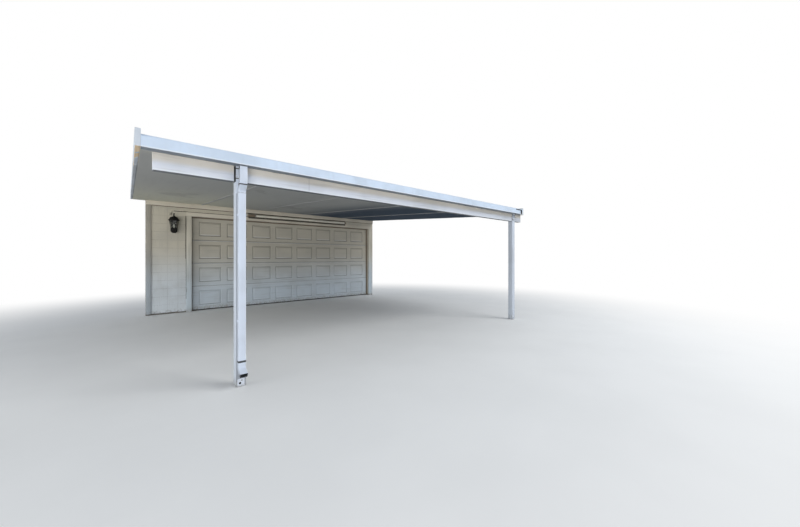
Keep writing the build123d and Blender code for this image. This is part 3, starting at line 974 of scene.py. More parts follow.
class PlacedTree:
    """Geometry Nodes tree that sets a shape on each point of a cloud of places."""

    def __init__(self, name: str, inputs: dict[str, str], given: str) -> None:
        """Builds what every such tree has.

        Args:
            name: The tree's name.
            inputs: Kind of each input that only this tree has, by the input's name.
            given: Name of the vector that each place carries.
        """
        self.tree = bpy.data.node_groups.new(name, "GeometryNodeTree")
        self.given = given
        self.inputs = {}
        for label, kind in {"Places": "Geometry", **inputs, "Finish": "Material"}.items():
            kind = "NodeSocket" + kind
            self.inputs[label] = self.tree.interface.new_socket(label, in_out="INPUT", socket_type=kind)
        self.tree.interface.new_socket("Pieces", in_out="OUTPUT", socket_type="NodeSocketGeometry")
        self.entry = self.tree.nodes.new("NodeGroupInput")
        self.carried = self.tree.nodes.new("GeometryNodeInputNamedAttribute")
        self.carried.data_type = "FLOAT_VECTOR"
        self.carried.inputs["Name"].default_value = given
        self.put = self.link(self.entry, "Places", "GeometryNodeInstanceOnPoints", "Points")
        real = self.link(self.put, "Instances", "GeometryNodeRealizeInstances", "Geometry")
        coated = self.link(real, "Geometry", "GeometryNodeSetMaterial", "Geometry")
        self.link(self.entry, "Finish", coated, "Material")
        self.link(coated, "Geometry", "NodeGroupOutput", "Pieces")

    def link(
        self, source: bpy.types.Node, output: object, target: Union[str, bpy.types.Node], entry: str
    ) -> bpy.types.Node:
        """Links two nodes.

        Args:
            source: Node that the link starts at.
            output: Name or number of its output.
            target: Node that it ends at, or the type of one to add.
            entry: Name of that node's input.

        Returns:
            The node that it ends at.
        """
        node = self.tree.nodes.new(target) if isinstance(target, str) else target
        self.tree.links.new(source.outputs[output], node.inputs[entry])
        return node

    def grow(
        self,
        name: str,
        places: Sequence[tuple[Point, Point]],
        values: dict[str, float],
        finish: Finish,
        slot: str,
        nodes: Sequence[str] = (),
    ) -> None:
        """Makes one plain piece of the tree's shapes.

        Args:
            name: The piece's name.
            places: Each place, with the vector that it carries.
            values: Values of the tree's own inputs, by name.
            finish: What the shapes are made of.
            slot: Not used.
            nodes: CAD nodes that the piece stands for.
        """
        cloud = bpy.data.meshes.new(name + "_places")
        cloud.from_pydata([place for place, _ in places], [], [])
        vectors = cloud.attributes.new(self.given, "FLOAT_VECTOR", "POINT")
        vectors.data.foreach_set("vector", [part for _, vector in places for part in vector])
        carrier = bpy.data.objects.new(name + "_carrier", cloud)
        bpy.context.scene.collection.objects.link(carrier)
        modifier = carrier.modifiers.new("places", "NODES")
        modifier.node_group = self.tree
        for label, value in {**values, "Finish": finish.material()}.items():
            modifier[self.inputs[label].identifier] = value
        graph = bpy.context.evaluated_depsgraph_get()
        data = bpy.data.meshes.new_from_object(carrier.evaluated_get(graph))
        data.name = name
        bpy.data.objects.remove(carrier)
        bpy.data.meshes.remove(cloud)
        settle(bpy.data.objects.new(name, data), finish, nodes)


class StudTree(PlacedTree):
    """Geometry Nodes tree that sets the head of a nail, screw or bolt on each place."""

    def __init__(self) -> None:
        """Builds the tree: a cone, turned to face the way that its place gives."""
        inputs = {"Head radius": "Float", "Crown radius": "Float", "Head height": "Float"}
        super().__init__("heads_on_places", {**inputs, "Sides": "Int", "Seed": "Int"}, "facing")
        head = self.link(self.entry, "Sides", "GeometryNodeMeshCone", "Vertices")
        self.link(self.entry, "Head radius", head, "Radius Bottom")
        self.link(self.entry, "Crown radius", head, "Radius Top")
        self.link(self.entry, "Head height", head, "Depth")
        self.link(head, "Mesh", self.put, "Instance")
        turn = self.link(self.carried, "Attribute", "FunctionNodeAlignRotationToVector", "Vector")
        turn.axis = "Z"
        self.link(turn, "Rotation", self.put, "Rotation")
        vary = self.link(self.entry, "Seed", "FunctionNodeRandomValue", "Seed")
        vary.data_type = "FLOAT"
        vary.inputs[2].default_value = 0.88
        vary.inputs[3].default_value = 1.12
        self.link(vary, 1, self.put, "Scale")

    def apply(
        self, name: str, places: Sequence[tuple[Point, Point]], head: Head, finish: Finish, slot: str
    ) -> None:
        """Makes one piece of heads.

        Args:
            name: The piece's name.
            places: Where each head sits, and the way it faces.
            head: Its shape.
            finish: What the heads are made of.
            slot: Their material slot in the record.
        """
        values = {
            "Head radius": head.radius,
            "Crown radius": head.radius * head.crown,
            "Head height": head.height,
            "Sides": head.sides,
            "Seed": head.seed,
        }
        self.grow(name, places, values, finish, slot)


class ShingleTree(PlacedTree):
    """Geometry Nodes tree that lays a leaning shingle on each place of a wall."""

    def __init__(self) -> None:
        """Builds the tree: a slab of the size that its place gives, leaning out at its foot."""
        super().__init__("shingle_courses", {"Tilt": "Float"}, "size")
        slab = self.tree.nodes.new("GeometryNodeMeshCube")
        self.link(slab, "Mesh", self.put, "Instance")
        lean = self.link(self.entry, "Tilt", "ShaderNodeCombineXYZ", "X")
        turn = self.link(lean, "Vector", "FunctionNodeEulerToRotation", "Euler")
        self.link(turn, "Rotation", self.put, "Rotation")
        self.link(self.carried, "Attribute", self.put, "Scale")


STUDS = StudTree()
SHINGLES = ShingleTree()


def blocks(
    name: str, boxes: Sequence[tuple[Flat, Flat, Flat]], finish: Finish, slot: str, rounding: float = 0.0
) -> None:
    """Makes one piece of square-cut blocks.

    Args:
        name: The piece's name.
        boxes: Faces of each block along x, y and z.
        finish: What the blocks are made of.
        slot: Their material slot in the record.
        rounding: Width of the rounding of their edges.
    """
    work = Workpiece()
    for faces in boxes:
        work.block(*faces)
    if rounding:
        work.soften(rounding, 1)
    work.finish(name, finish, slot)


# Sub-assemblies


@dataclass
class PostsAndBeam:
    """Two posts on strap bases, and the doubled beam that they carry."""

    arris: float = 0.004
    bow: float = 0.0015
    pipe_top: float = 1.835
    joint_levels: Flat = (1.947, 2.03)
    strap_gauge: float = 0.003
    strap_corner: float = 0.006
    hole_radius: float = 0.0105
    bolt_place: Flat = (0.007, 0.0615)
    bore_place: Flat = (-0.008, 0.0345)
    tie_levels: Flat = (1.983, 2.076)
    tie_height: float = 0.024
    tie_gauge: float = 0.002
    tie_shadow: float = 0.009
    pale_edge: float = 0.014
    plank_joint: float = -1.583
    joint_width: float = 0.006
    nail_pitch: float = 0.42
    lengths: tuple[str, ...] = ("left", "main", "right")

    def build(self) -> None:
        """Builds and dresses every piece."""
        for side in SIDES:
            self.post(side)
            self.base(side)
        for place in self.lengths:
            self.beam(place)
        self.fixings()

    def post(self, side: str) -> None:
        """One post: a square timber with eased edges and a slight bow.

        Args:
            side: Left or right.
        """
        box = Extent.of(f"post_{side}")
        work = Workpiece()
        corners = rectangle((box.x0, box.x1), (box.y0, box.y1))
        levels = [*steps_between(box.z0, self.pipe_top, 0.15), *self.joint_levels]
        rings = [[(x, y, level) for x, y in corners] for level in levels]
        work.loft([*rings, [(x, y, PITCH.level(y)) for x, y in corners]])
        work.soften(self.arris)

        def bowed(point: Vector) -> Vector:
            """Moves the sides in at mid height.

            Args:
                point: Place of a vertex.

            Returns:
                Its new place.
            """
            share = math.sin(math.pi * (point.z - box.z0) / (box.z1 - box.z0))
            inward = 1 if point.x < box.mid_x else -1
            point.x += inward * self.bow * 0.5 * share * (1 + wander(0, 3, point.z * 2))
            return point

        def painted_shade_at(middle: Vector, way: Vector) -> float:
            """How much painted shade a face takes beside the beam and behind the pipe.

            Args:
                middle: Middle of the face.
                way: The way that it looks.

            Returns:
                The value of the mark.
            """
            beside_beam = abs(way.x) > 0.7 and middle.z > 1.945
            behind_pipe = side == "left" and way.y < -0.8 and middle.z < 1.84
            return 1.0 if beside_beam else (0.42 if behind_pipe else 0.0)

        work.reshape(bowed)
        work.brand(work.seam, painted_shade_at)
        work.finish(f"post_{side}_timber", POST_PAINT, "white_timber", [f"post_{side}"])

    def base(self, side: str) -> None:
        """One post base: a bent strap under the post, with its bolts.

        Args:
            side: Left or right.
        """
        node, steel = f"post_base_{side}", "galvanised_steel"
        box = Extent.of(node)
        gauge, corner = self.strap_gauge, self.strap_corner
        bolt = (box.mid_x + self.bolt_place[0], self.bolt_place[1])
        bore = (box.mid_x + self.bore_place[0], self.bore_place[1])
        work = Workpiece()
        work.block((box.x0, box.x1), (box.y0, box.y1), (box.z0, box.z0 + gauge))
        rim = [(box.x0, box.z0), (box.x1, box.z0), (box.x1, box.z1 - corner), (box.x1 - corner, box.z1)]
        rim += [(box.x0 + corner, box.z1), (box.x0, box.z1 - corner)]
        hole = []
        for angle in reversed(circle(16)):
            x, z = self.hole_radius * math.cos(angle), self.hole_radius * math.sin(angle)
            hole.append((bore[0] + x, bore[1] + z))
        work.plate(rim, [hole], (box.y0, box.y0 + gauge))
        work.plate(rim, [hole], (box.y1 - gauge, box.y1))
        work.soften(0.0009, 1, 60.0)
        work.finish(f"{node}_strap", BASE_PAINT, steel, [node])
        bolts, bores = [], []
        for y, way, inward in ((box.y0, FRONT, 1), (box.y1, BACK, -1)):
            bolts.append(((bolt[0], y + inward * HIDDEN, bolt[1]), way))
            bores.append(((bore[0], y + inward * gauge, bore[1]), way))
        STUDS.apply(f"{node}_washers", bolts, Head(0.0105, 0.0012, 16, 0.95), BASE_PAINT, steel)
        STUDS.apply(f"{node}_bolts", bolts, Head(0.0062, 0.0052, 6, 0.92), BOLT, steel)
        # Painted shade: a black disc in each hole stands for its dark depth.
        STUDS.apply(f"{node}_bores", bores, Head(self.hole_radius * 1.1, 0.0006, 16, 0.98), SHADE_BLACK, steel)

    def beam(self, place: str) -> None:
        """One length of the beam: two planks on edge, side by side.

        Args:
            place: Left, main or right.
        """
        box = Extent.of(f"beam_{place}")
        stops = steps_between(box.x0, box.x1, 0.25)
        if place == "main":
            stops = sorted([*stops, self.plank_joint, self.plank_joint + self.joint_width])
        work = Workpiece()
        low = box.z0 + self.pale_edge
        for near, far in ((box.y0, box.mid_y - HIDDEN), (box.mid_y + HIDDEN, box.y1)):
            outline = [(near, low), (near, box.z0), (far, box.z0)]
            work.bar([*outline, (far, PITCH.level(far)), (near, PITCH.level(near))], Along.X, stops)
        work.soften(0.0028)

        def darkened(middle: Vector, way: Vector) -> float:
            """How dark a face is: painted shade below, a dark joint between the boards, and darker over the
            right length.

            Args:
                middle: Middle of the face.
                way: The way that it looks.

            Returns:
                The value of the mark.
            """
            if way.z < -0.8:
                return 1.0
            if place == "main" and 0.0 < middle.x - self.plank_joint < self.joint_width:
                return 0.35
            return 0.45 if place == "right" else 0.0

        def hung(point: Vector) -> Vector:
            """Lets the lower edge and the front face wander a little inward.

            Args:
                point: Place of a vertex.

            Returns:
                Its new place.
            """
            if point.z < box.z0 + 0.03:
                point.z += 0.0012 * (1 + wander(point.x * 1.7, 5))
            if point.y < box.y0 + 0.004:
                point.y += 0.0010 * (1 + wander(point.x * 2.3, 0, point.z * 4))
            return point

        work.brand(work.seam, darkened)
        # Painted highlight: the low strip of the front face is paler.
        work.brand(work.highlight_and_flakes, lambda middle, way: 0.8 if way.y < -0.6 and middle.z < low else 0.0)
        work.reshape(hung)
        work.finish(f"beam_{place}_planks", BEAM_PAINT, "white_timber", [f"beam_{place}"])

    def fixings(self) -> None:
        """Nails along the planks, and the painted ties across each post's head."""
        nails = []
        for place in self.lengths:
            box = Extent.of(f"beam_{place}")
            for x in steps_between(box.x0 + 0.05, box.x1 - 0.05, self.nail_pitch):
                for shift, level in ((0.0, 0.22 * 0.14), (0.03, 0.72 * 0.14)):
                    nails.append(((x + shift, box.y0 + 0.0012, box.z0 + level), FRONT))
        STUDS.apply("beam_nails", nails, Head(0.0042, 0.0012, 8, 0.8), BEAM_PAINT, "white_timber")
        ties, grime, heads = Workpiece(), Workpiece(), []
        for side, level in product(SIDES, self.tie_levels):
            post = Extent.of(f"post_{side}")
            face, back = post.y0 - self.tie_gauge, post.y0 + HIDDEN
            ties.block((post.x0 - HIDDEN, post.x1 + HIDDEN), (face, back), (level, level + self.tie_height))
            # Painted shadow: a dark strip under each tie, and the ties' undersides darkened.
            shadow = (level - self.tie_shadow, level + 0.001)
            grime.block((post.x0, post.x1), (post.y0 - 0.4 * self.tie_gauge, back), shadow)
            for share in (0.12, 0.88):
                heads.append(((post.x0 + share * (post.x1 - post.x0), face, level + 0.013), FRONT))
        ties.soften(0.0007, 1)
        ties.brand(ties.seam, lambda middle, way: 1.0 if way.z < -0.9 else 0.0)
        ties.finish("post_ties", BASE_PAINT, "white_timber")
        grime.finish("post_tie_painted_shadow", SHADOW_PAINT, "white_timber")
        STUDS.apply("post_tie_nails", heads, Head(0.0032, 0.0012, 8, 0.8), NAIL, "galvanised_steel")


@dataclass
class Roof:
    """The flat roof: ceiling, battens, rakes, fascias, deck and roll roofing."""

    sheet_width: float = 1.219
    sheet_joint: float = 0.003
    sheet_thickness: float = 0.0095
    batten_width: float = 0.038
    batten_thickness: float = 0.006
    rafter_spacing: float = 0.6096
    rafter_half: float = 0.019
    deck_lift: float = 0.0985
    roofing_lift: float = 0.1105
    roofing_thickness: float = 0.0028
    roll_width: float = 0.92
    lap: float = 0.0030
    rake_height: float = 0.140

    def build(self) -> None:
        """Builds and dresses every piece."""
        self.ceiling()
        self.battens()
        self.nails()
        for side in SIDES:
            self.rake(side)
        self.fascia()
        self.roofing()
        dress("rafters", FRAMING)
        dress("roof_deck", DECKING)

    def sheet_spans(self) -> list[Flat]:
        """Where the ceiling sheets lie.

        Returns:
            Low and high x of each sheet, from the left rake.
        """
        box = Extent.of("ceiling_sheets")
        spans = []
        x = box.x0
        while x < box.x1 - 0.01:
            spans.append((x, min(x + self.sheet_width - self.sheet_joint, box.x1)))
            x += self.sheet_width
        return spans

    def rafter_places(self) -> list[float]:
        """Middle x of each rafter."""
        box = Extent.of("rafters")
        count = round((box.x1 - box.x0) / self.rafter_spacing)
        return [box.x0 + self.rafter_half + self.rafter_spacing * index for index in range(count + 1)]

    def ceiling(self) -> None:
        """Ceiling sheets that sag a little between the rafters."""
        box = Extent.of("ceiling_sheets")
        work = Workpiece()
        for x0, x1 in self.sheet_spans():
            stations = steps_between(x0, x1, 0.1)
            rings = []
            for y in steps_between(box.y0, box.y1, 0.2):
                below = [(x, y, PITCH.level(y)) for x in stations]
                above = [(x, y, PITCH.level(y, self.sheet_thickness)) for x in reversed(stations)]
                rings.append(below + above)
            work.loft(rings)
        work.soften(0.0014, 1, 60.0)
        first = self.rafter_places()[0]

        def sagged(point: Vector) -> Vector:
            """Lowers the face between two rafters.

            Args:
                point: Place of a vertex.

            Returns:
                Its new place.
            """
            if point.z < PITCH.level(point.y, 0.005):
                share = abs(math.sin(math.pi * (point.x - first) / self.rafter_spacing))
                point.z -= 0.0022 * share * (0.5 + 0.5 * wander(point.x * 1.1, point.y * 0.9, 2.0))
            return point

        work.reshape(sagged)
        work.finish("ceiling_boards", CEILING, "ceiling_paint", ["ceiling_sheets"])

    def battens(self) -> None:
        """Flat battens over the joints of the sheets."""
        box = Extent.of("ceiling_battens")
        work = Workpiece()
        for _, x1 in self.sheet_spans()[:-1]:
            joint = x1 + self.sheet_joint / 2
            rings = []
            for y in steps_between(box.y0, box.y1, 0.3):
                half = self.batten_width / 2 + 0.0006 * wander(joint, y * 3)
                levels = (PITCH.level(y, -self.batten_thickness), PITCH.level(y))
                rings.append([(x, y, z) for x, z in rectangle((joint - half, joint + half), levels)])
            work.loft(rings)
        work.soften(0.0016)
        work.finish("ceiling_joint_strips", BATTEN_PAINT, "ceiling_paint", ["ceiling_battens"])

    def nails(self) -> None:
        """Painted nail heads in the ceiling, in rows under the rafters and on the battens."""
        box = Extent.of("ceiling_sheets")
        choose = random.Random(11)
        heads = []
        for x in self.rafter_places():
            for y in steps_between(box.y0 + 0.2, box.y1 - 0.25, 0.24):
                place = y + choose.uniform(-0.02, 0.02)
                heads.append(((x + choose.uniform(-0.006, 0.006), place, PITCH.level(place) + PROUD), DOWN))
        STUDS.apply("ceiling_nails", heads, Head(0.0052, 0.0010, 8, 0.85, 3), CEILING, "ceiling_paint")
        strips = Extent.of("ceiling_battens")
        heads = []
        for _, x1 in self.sheet_spans()[:-1]:
            for index, y in enumerate(steps_between(strips.y0 + 0.05, strips.y1 - 0.05, 0.3)):
                x = x1 + self.sheet_joint / 2 + (0.008 if index % 2 else -0.008)
                heads.append(((x, y, PITCH.level(y, -self.batten_thickness) + PROUD), DOWN))
        STUDS.apply("batten_nails", heads, Head(0.0034, 0.0008, 8, 0.8, 4), NAIL, "ceiling_paint")

    def rake(self, side: str) -> None:
        """One rake board, along the roof's end, with a worn lower edge.

        Args:
            side: Left or right.
        """
        box = Extent.of(f"rake_{side}")
        outer, inward, joint = box.x0, 1, box.x1 - 0.012
        if side == "right":
            outer, inward, joint = box.x1, -1, box.x0 + 0.012
        work = Workpiece()
        rings = []
        for y in steps_between(box.y0, box.y1, 0.08):
            low, high = PITCH.level(y), PITCH.level(y, self.rake_height)
            foot = [(box.x0, y, low), (joint, y, low), (box.x1, y, low)]
            rings.append([*foot, (box.x1, y, high), (box.x0, y, high)])
        work.loft(rings)
        work.soften(0.004)

        def weathered(point: Vector) -> Vector:
            """Makes the lower edge ragged and lets the outer face wander.

            Args:
                point: Place of a vertex.

            Returns:
                Its new place.
            """
            near_edge = max(0.0, 1 - (point.z - PITCH.level(point.y)) / 0.03)
            point.z += 0.004 * near_edge * max(0.0, wander(0.0, point.y * 5.0, 1.0))
            if abs(point.x - outer) < 0.005:
                point.x += inward * 0.0015 * (1 + wander(point.z * 6, point.y * 1.2))
            return point

        def bared(middle: Vector, way: Vector) -> float:
            """How bare the wood is under the board, most near its front end."""
            beneath = middle.z < PITCH.level(middle.y) + 0.012 and abs(way.x) < 0.8 and way.y > -0.8
            return clamp(1.0 - (middle.y - box.y0 - 0.36) / 0.7) if beneath else 0.0

        def flaked(middle: Vector, way: Vector) -> float:
            """Where pale flakes of paint are left under the board."""
            patchy = wander(middle.x * 60.0, middle.y * 11.0, 4.0) > 0.0
            return 0.8 if way.z < -0.6 and 0.44 < middle.y - box.y0 < 1.1 and patchy else 0.0

        def shaded(middle: Vector, way: Vector) -> float:
            """How much painted shade a face takes under the board, most beside the ceiling.

            Args:
                middle: Middle of the face.
                way: The way that it looks.

            Returns:
                The value of the mark.
            """
            beneath = way.z < -0.6 and middle.z < PITCH.level(middle.y) + 0.012
            if not beneath or middle.y - box.y0 < 0.3:
                return 0.0
            share = min(1.0, (middle.y - box.y0 - 0.3) / 0.9)
            return 0.75 * share if inward * (middle.x - joint) > 0 else 0.3 * share

        work.reshape(weathered)
        work.brand(work.worn, bared)
        work.brand(work.highlight_and_flakes, flaked)
        work.brand(work.seam, shaded)
        work.finish(f"rake_{side}_board", RAKE_PAINT, "white_timber", [f"rake_{side}"])

    def fascia(self) -> None:
        """Front and back fascias, and the drip edge over the front one."""
        for node, low in (("fascia_front", 0.0), ("fascia_back", self.sheet_thickness)):
            box = Extent.of(node)
            work = Workpiece()
            lifts = rectangle((box.y0, box.y1), (low, self.deck_lift))
            outline = [(y, PITCH.level(y, lift)) for y, lift in lifts]
            work.bar(outline, Along.X, steps_between(box.x0, box.x1, 0.5))
            work.soften(0.003)
            work.finish(f"{node}_board", FASCIA_PAINT, "white_timber", [node])
        dress("drip_edge", GUTTER_ENAMEL)

    def roofing(self) -> None:
        """Roll roofing in courses that lap down the slope, with their nails."""
        box = Extent.of("roofing")
        work, tar, nails = Workpiece(), Workpiece(), []
        stations = steps_between(box.x0, box.x1, 0.15)
        y = box.y0
        while y < box.y1 - 0.02:
            y1 = min(y + self.roll_width, box.y1)
            rings = []
            for share in (0.0, 0.02, 0.1, 0.3, 0.5, 0.75, 1.0):
                place = y + share * (y1 - y)
                lap = self.lap if share < 0.05 else self.lap * (1 - share)
                face = self.roofing_lift + self.roofing_thickness + lap
                lifts = [face + 0.0006 * wander(x * 2, place * 3) for x in stations]
                top = [(x, place, PITCH.level(place, lift)) for x, lift in zip(stations, lifts)]
                low = [(x, place, PITCH.level(place, self.roofing_lift)) for x in reversed(stations)]
                rings.append(top + low)
            work.loft(rings)
            for x in steps_between(box.x0 + 0.05, box.x1 - 0.05, 0.16):
                nails.append(((x, y + 0.02, PITCH.level(y + 0.02, self.roofing_lift + 0.0054)), UP))
            if y > box.y0:
                self.tar_line(tar, box, y)
            y = y1
        work.finish("roofing_rolls", ROOFING, "roofing_sheet", ["roofing"], 20.0)
        tar.finish("roofing_tar", SEALANT, "roofing_sheet", smooth=20.0)
        STUDS.apply("roofing_nails", nails, Head(0.0058, 0.0009, 8, 0.8, 6), ZINC, "roofing_sheet")

    def tar_line(self, work: Workpiece, box: Extent, y: float) -> None:
        """Uneven bead of tar that has crept out of a lap.

        Args:
            work: The piece that all the beads belong to.
            box: The roofing's box.
            y: Place of the lap.
        """
        low = self.roofing_lift + 0.0029
        rings = []
        for x in steps_between(box.x0 + 0.01, box.x1 - 0.01, 0.07):
            reach = 0.010 + 0.008 * wander(x * 4, y)
            front, back = (x, y - reach, PITCH.level(y - reach, low)), (x, y + 0.002, PITCH.level(y, low))
            crown = [(x, y + 0.002, PITCH.level(y, low + 0.0022))]
            rings.append([front, back, *crown, (x, y - 0.5 * reach, PITCH.level(y, low + 0.0014))])
        work.loft(rings)


@dataclass
class Gutter:
    """Flat-faced gutter with a hem, a turned-in lip, closed ends and spikes."""

    gauge: float = 0.0015
    hem_height: float = 0.011
    hem_depth: float = 0.003
    lip_width: float = 0.014
    lip_drop: float = 0.007
    back_height: float = 0.076
    wave: float = 0.0026
    spike_pitch: float = 0.73
    spikes: int = 8
    slip_shares: Flat = (0.34, 0.69)
    slip_half: float = 0.03
    end_strip_reach: float = 0.042
    rim_strip_reach: float = 0.225

    def outline(self, box: Extent) -> list[Flat]:
        """Side outline of the trough's sheet.

        Args:
            box: The gutter's box.

        Returns:
            Its (y, z) points.
        """
        face, lip = box.y0 + self.hem_depth, box.y0 + self.hem_depth + self.lip_width
        top, floor, inside = box.z1, box.z0 + self.gauge, box.z1 - self.gauge
        back_top, hem = box.z0 + self.back_height, box.z0 + self.hem_height
        return [
            (box.y1, back_top),
            (box.y1, box.z0),
            (box.y0 + 0.0025, box.z0),
            (box.y0, box.z0 + 0.0025),
            (box.y0, hem - 0.001),
            (box.y0 + 0.001, hem),
            (face, hem + 0.0015),
            (face, top - 0.002),
            (face + 0.002, top),
            (lip, top),
            (lip, top - self.lip_drop),
            (lip - self.gauge, top - self.lip_drop),
            (lip - self.gauge, inside),
            (face + self.gauge, inside),
            (face + self.gauge, floor),
            (box.y1 - self.gauge, floor),
            (box.y1 - self.gauge, back_top),
        ]

    def build(self) -> None:
        """Builds and dresses every piece."""
        box = Extent.of("gutter")
        shell = self.outline(box)
        work = Workpiece()
        work.bar(shell, Along.X, steps_between(box.x0 + self.gauge, box.x1 - self.gauge, 0.03))
        cap = shell[1:10] + [(shell[9][0], shell[0][1]), shell[0]]
        for ends in ((box.x0, box.x0 + self.gauge), (box.x1 - self.gauge, box.x1)):
            work.bar(cap, Along.X, ends)
        work.reshape(lambda point: self.waved(point, box))
        floor, hem = box.z0 + 0.004, box.z0 + self.hem_height
        # Painted shade on the trough's underside, and a painted highlight on the front of the hem.
        work.brand(work.seam, lambda middle, way: 0.7 if way.z < -0.8 and middle.z < floor else 0.0)
        work.brand(work.highlight_and_flakes, lambda middle, way: 0.8 if way.y < -0.5 and middle.z < hem else 0.0)
        work.finish("gutter_trough", GUTTER_ENAMEL, "white_metal", ["gutter"], 30.0)
        self.seams(box)
        dress("gutter_hangers", ZINC)

    def waved(self, point: Vector, box: Extent) -> Vector:
        """Lets the face wander in and out, as long light sheet does.

        Args:
            point: Place of a vertex.
            box: The gutter's box.

        Returns:
            The vertex's new place.
        """
        share = clamp((box.y0 + 0.03 - point.y) / 0.03)
        slow = 0.5 + 0.5 * wander(point.x * 1.3, 4.0)
        quick = 0.5 + 0.5 * wander(point.x * 5.5, 9.0, point.z * 3.0)
        point.y += share * self.wave * (0.7 * slow + 0.3 * quick)
        return point

    def seams(self, box: Extent) -> None:
        """Slip joints, spike heads and the black strips at the right end.

        Args:
            box: The gutter's box.
        """
        top, face = box.z1 - 0.001, box.y0 + 0.0008
        joints = []
        for share in self.slip_shares:
            x = box.x0 + share * (box.x1 - box.x0)
            x = (x - self.slip_half, x + self.slip_half)
            joints.append((x, (face, face + 0.003), (box.z0 + 0.0115, top)))
            joints.append((x, (face, box.y1 - 0.002), (box.z0 + 0.0002, box.z0 + 0.0014)))
        blocks("gutter_slip_joints", joints, GUTTER_ENAMEL, "white_metal", 0.0006)
        heads = []
        for index in range(self.spikes):
            x = box.x0 + self.spike_pitch * (index + 0.5)
            heads.append(((x, face + 0.0022, box.z1 - 0.013), FRONT))
        STUDS.apply("gutter_spikes", heads, Head(0.0055, 0.0022, 12, 0.6, 7), PIPE_ENAMEL, "white_metal")
        end, hem, near = box.x1 - 0.0004, box.z0 + 0.012, box.y0 + 0.0002
        end_strips = [
            ((box.x1 - self.end_strip_reach, end), (near, box.y0 + 0.0045), (hem, top)),
            ((box.x1 - self.end_strip_reach, end), (box.y0, box.y0 + 0.0020), (box.z0, hem)),
            ((box.x1 - self.rim_strip_reach, end), (near, box.y0 + 0.0060), (top - 0.015, top + 0.0008)),
        ]
        blocks("gutter_end_black_strips", end_strips, SEALANT, "white_metal", 0.0008)


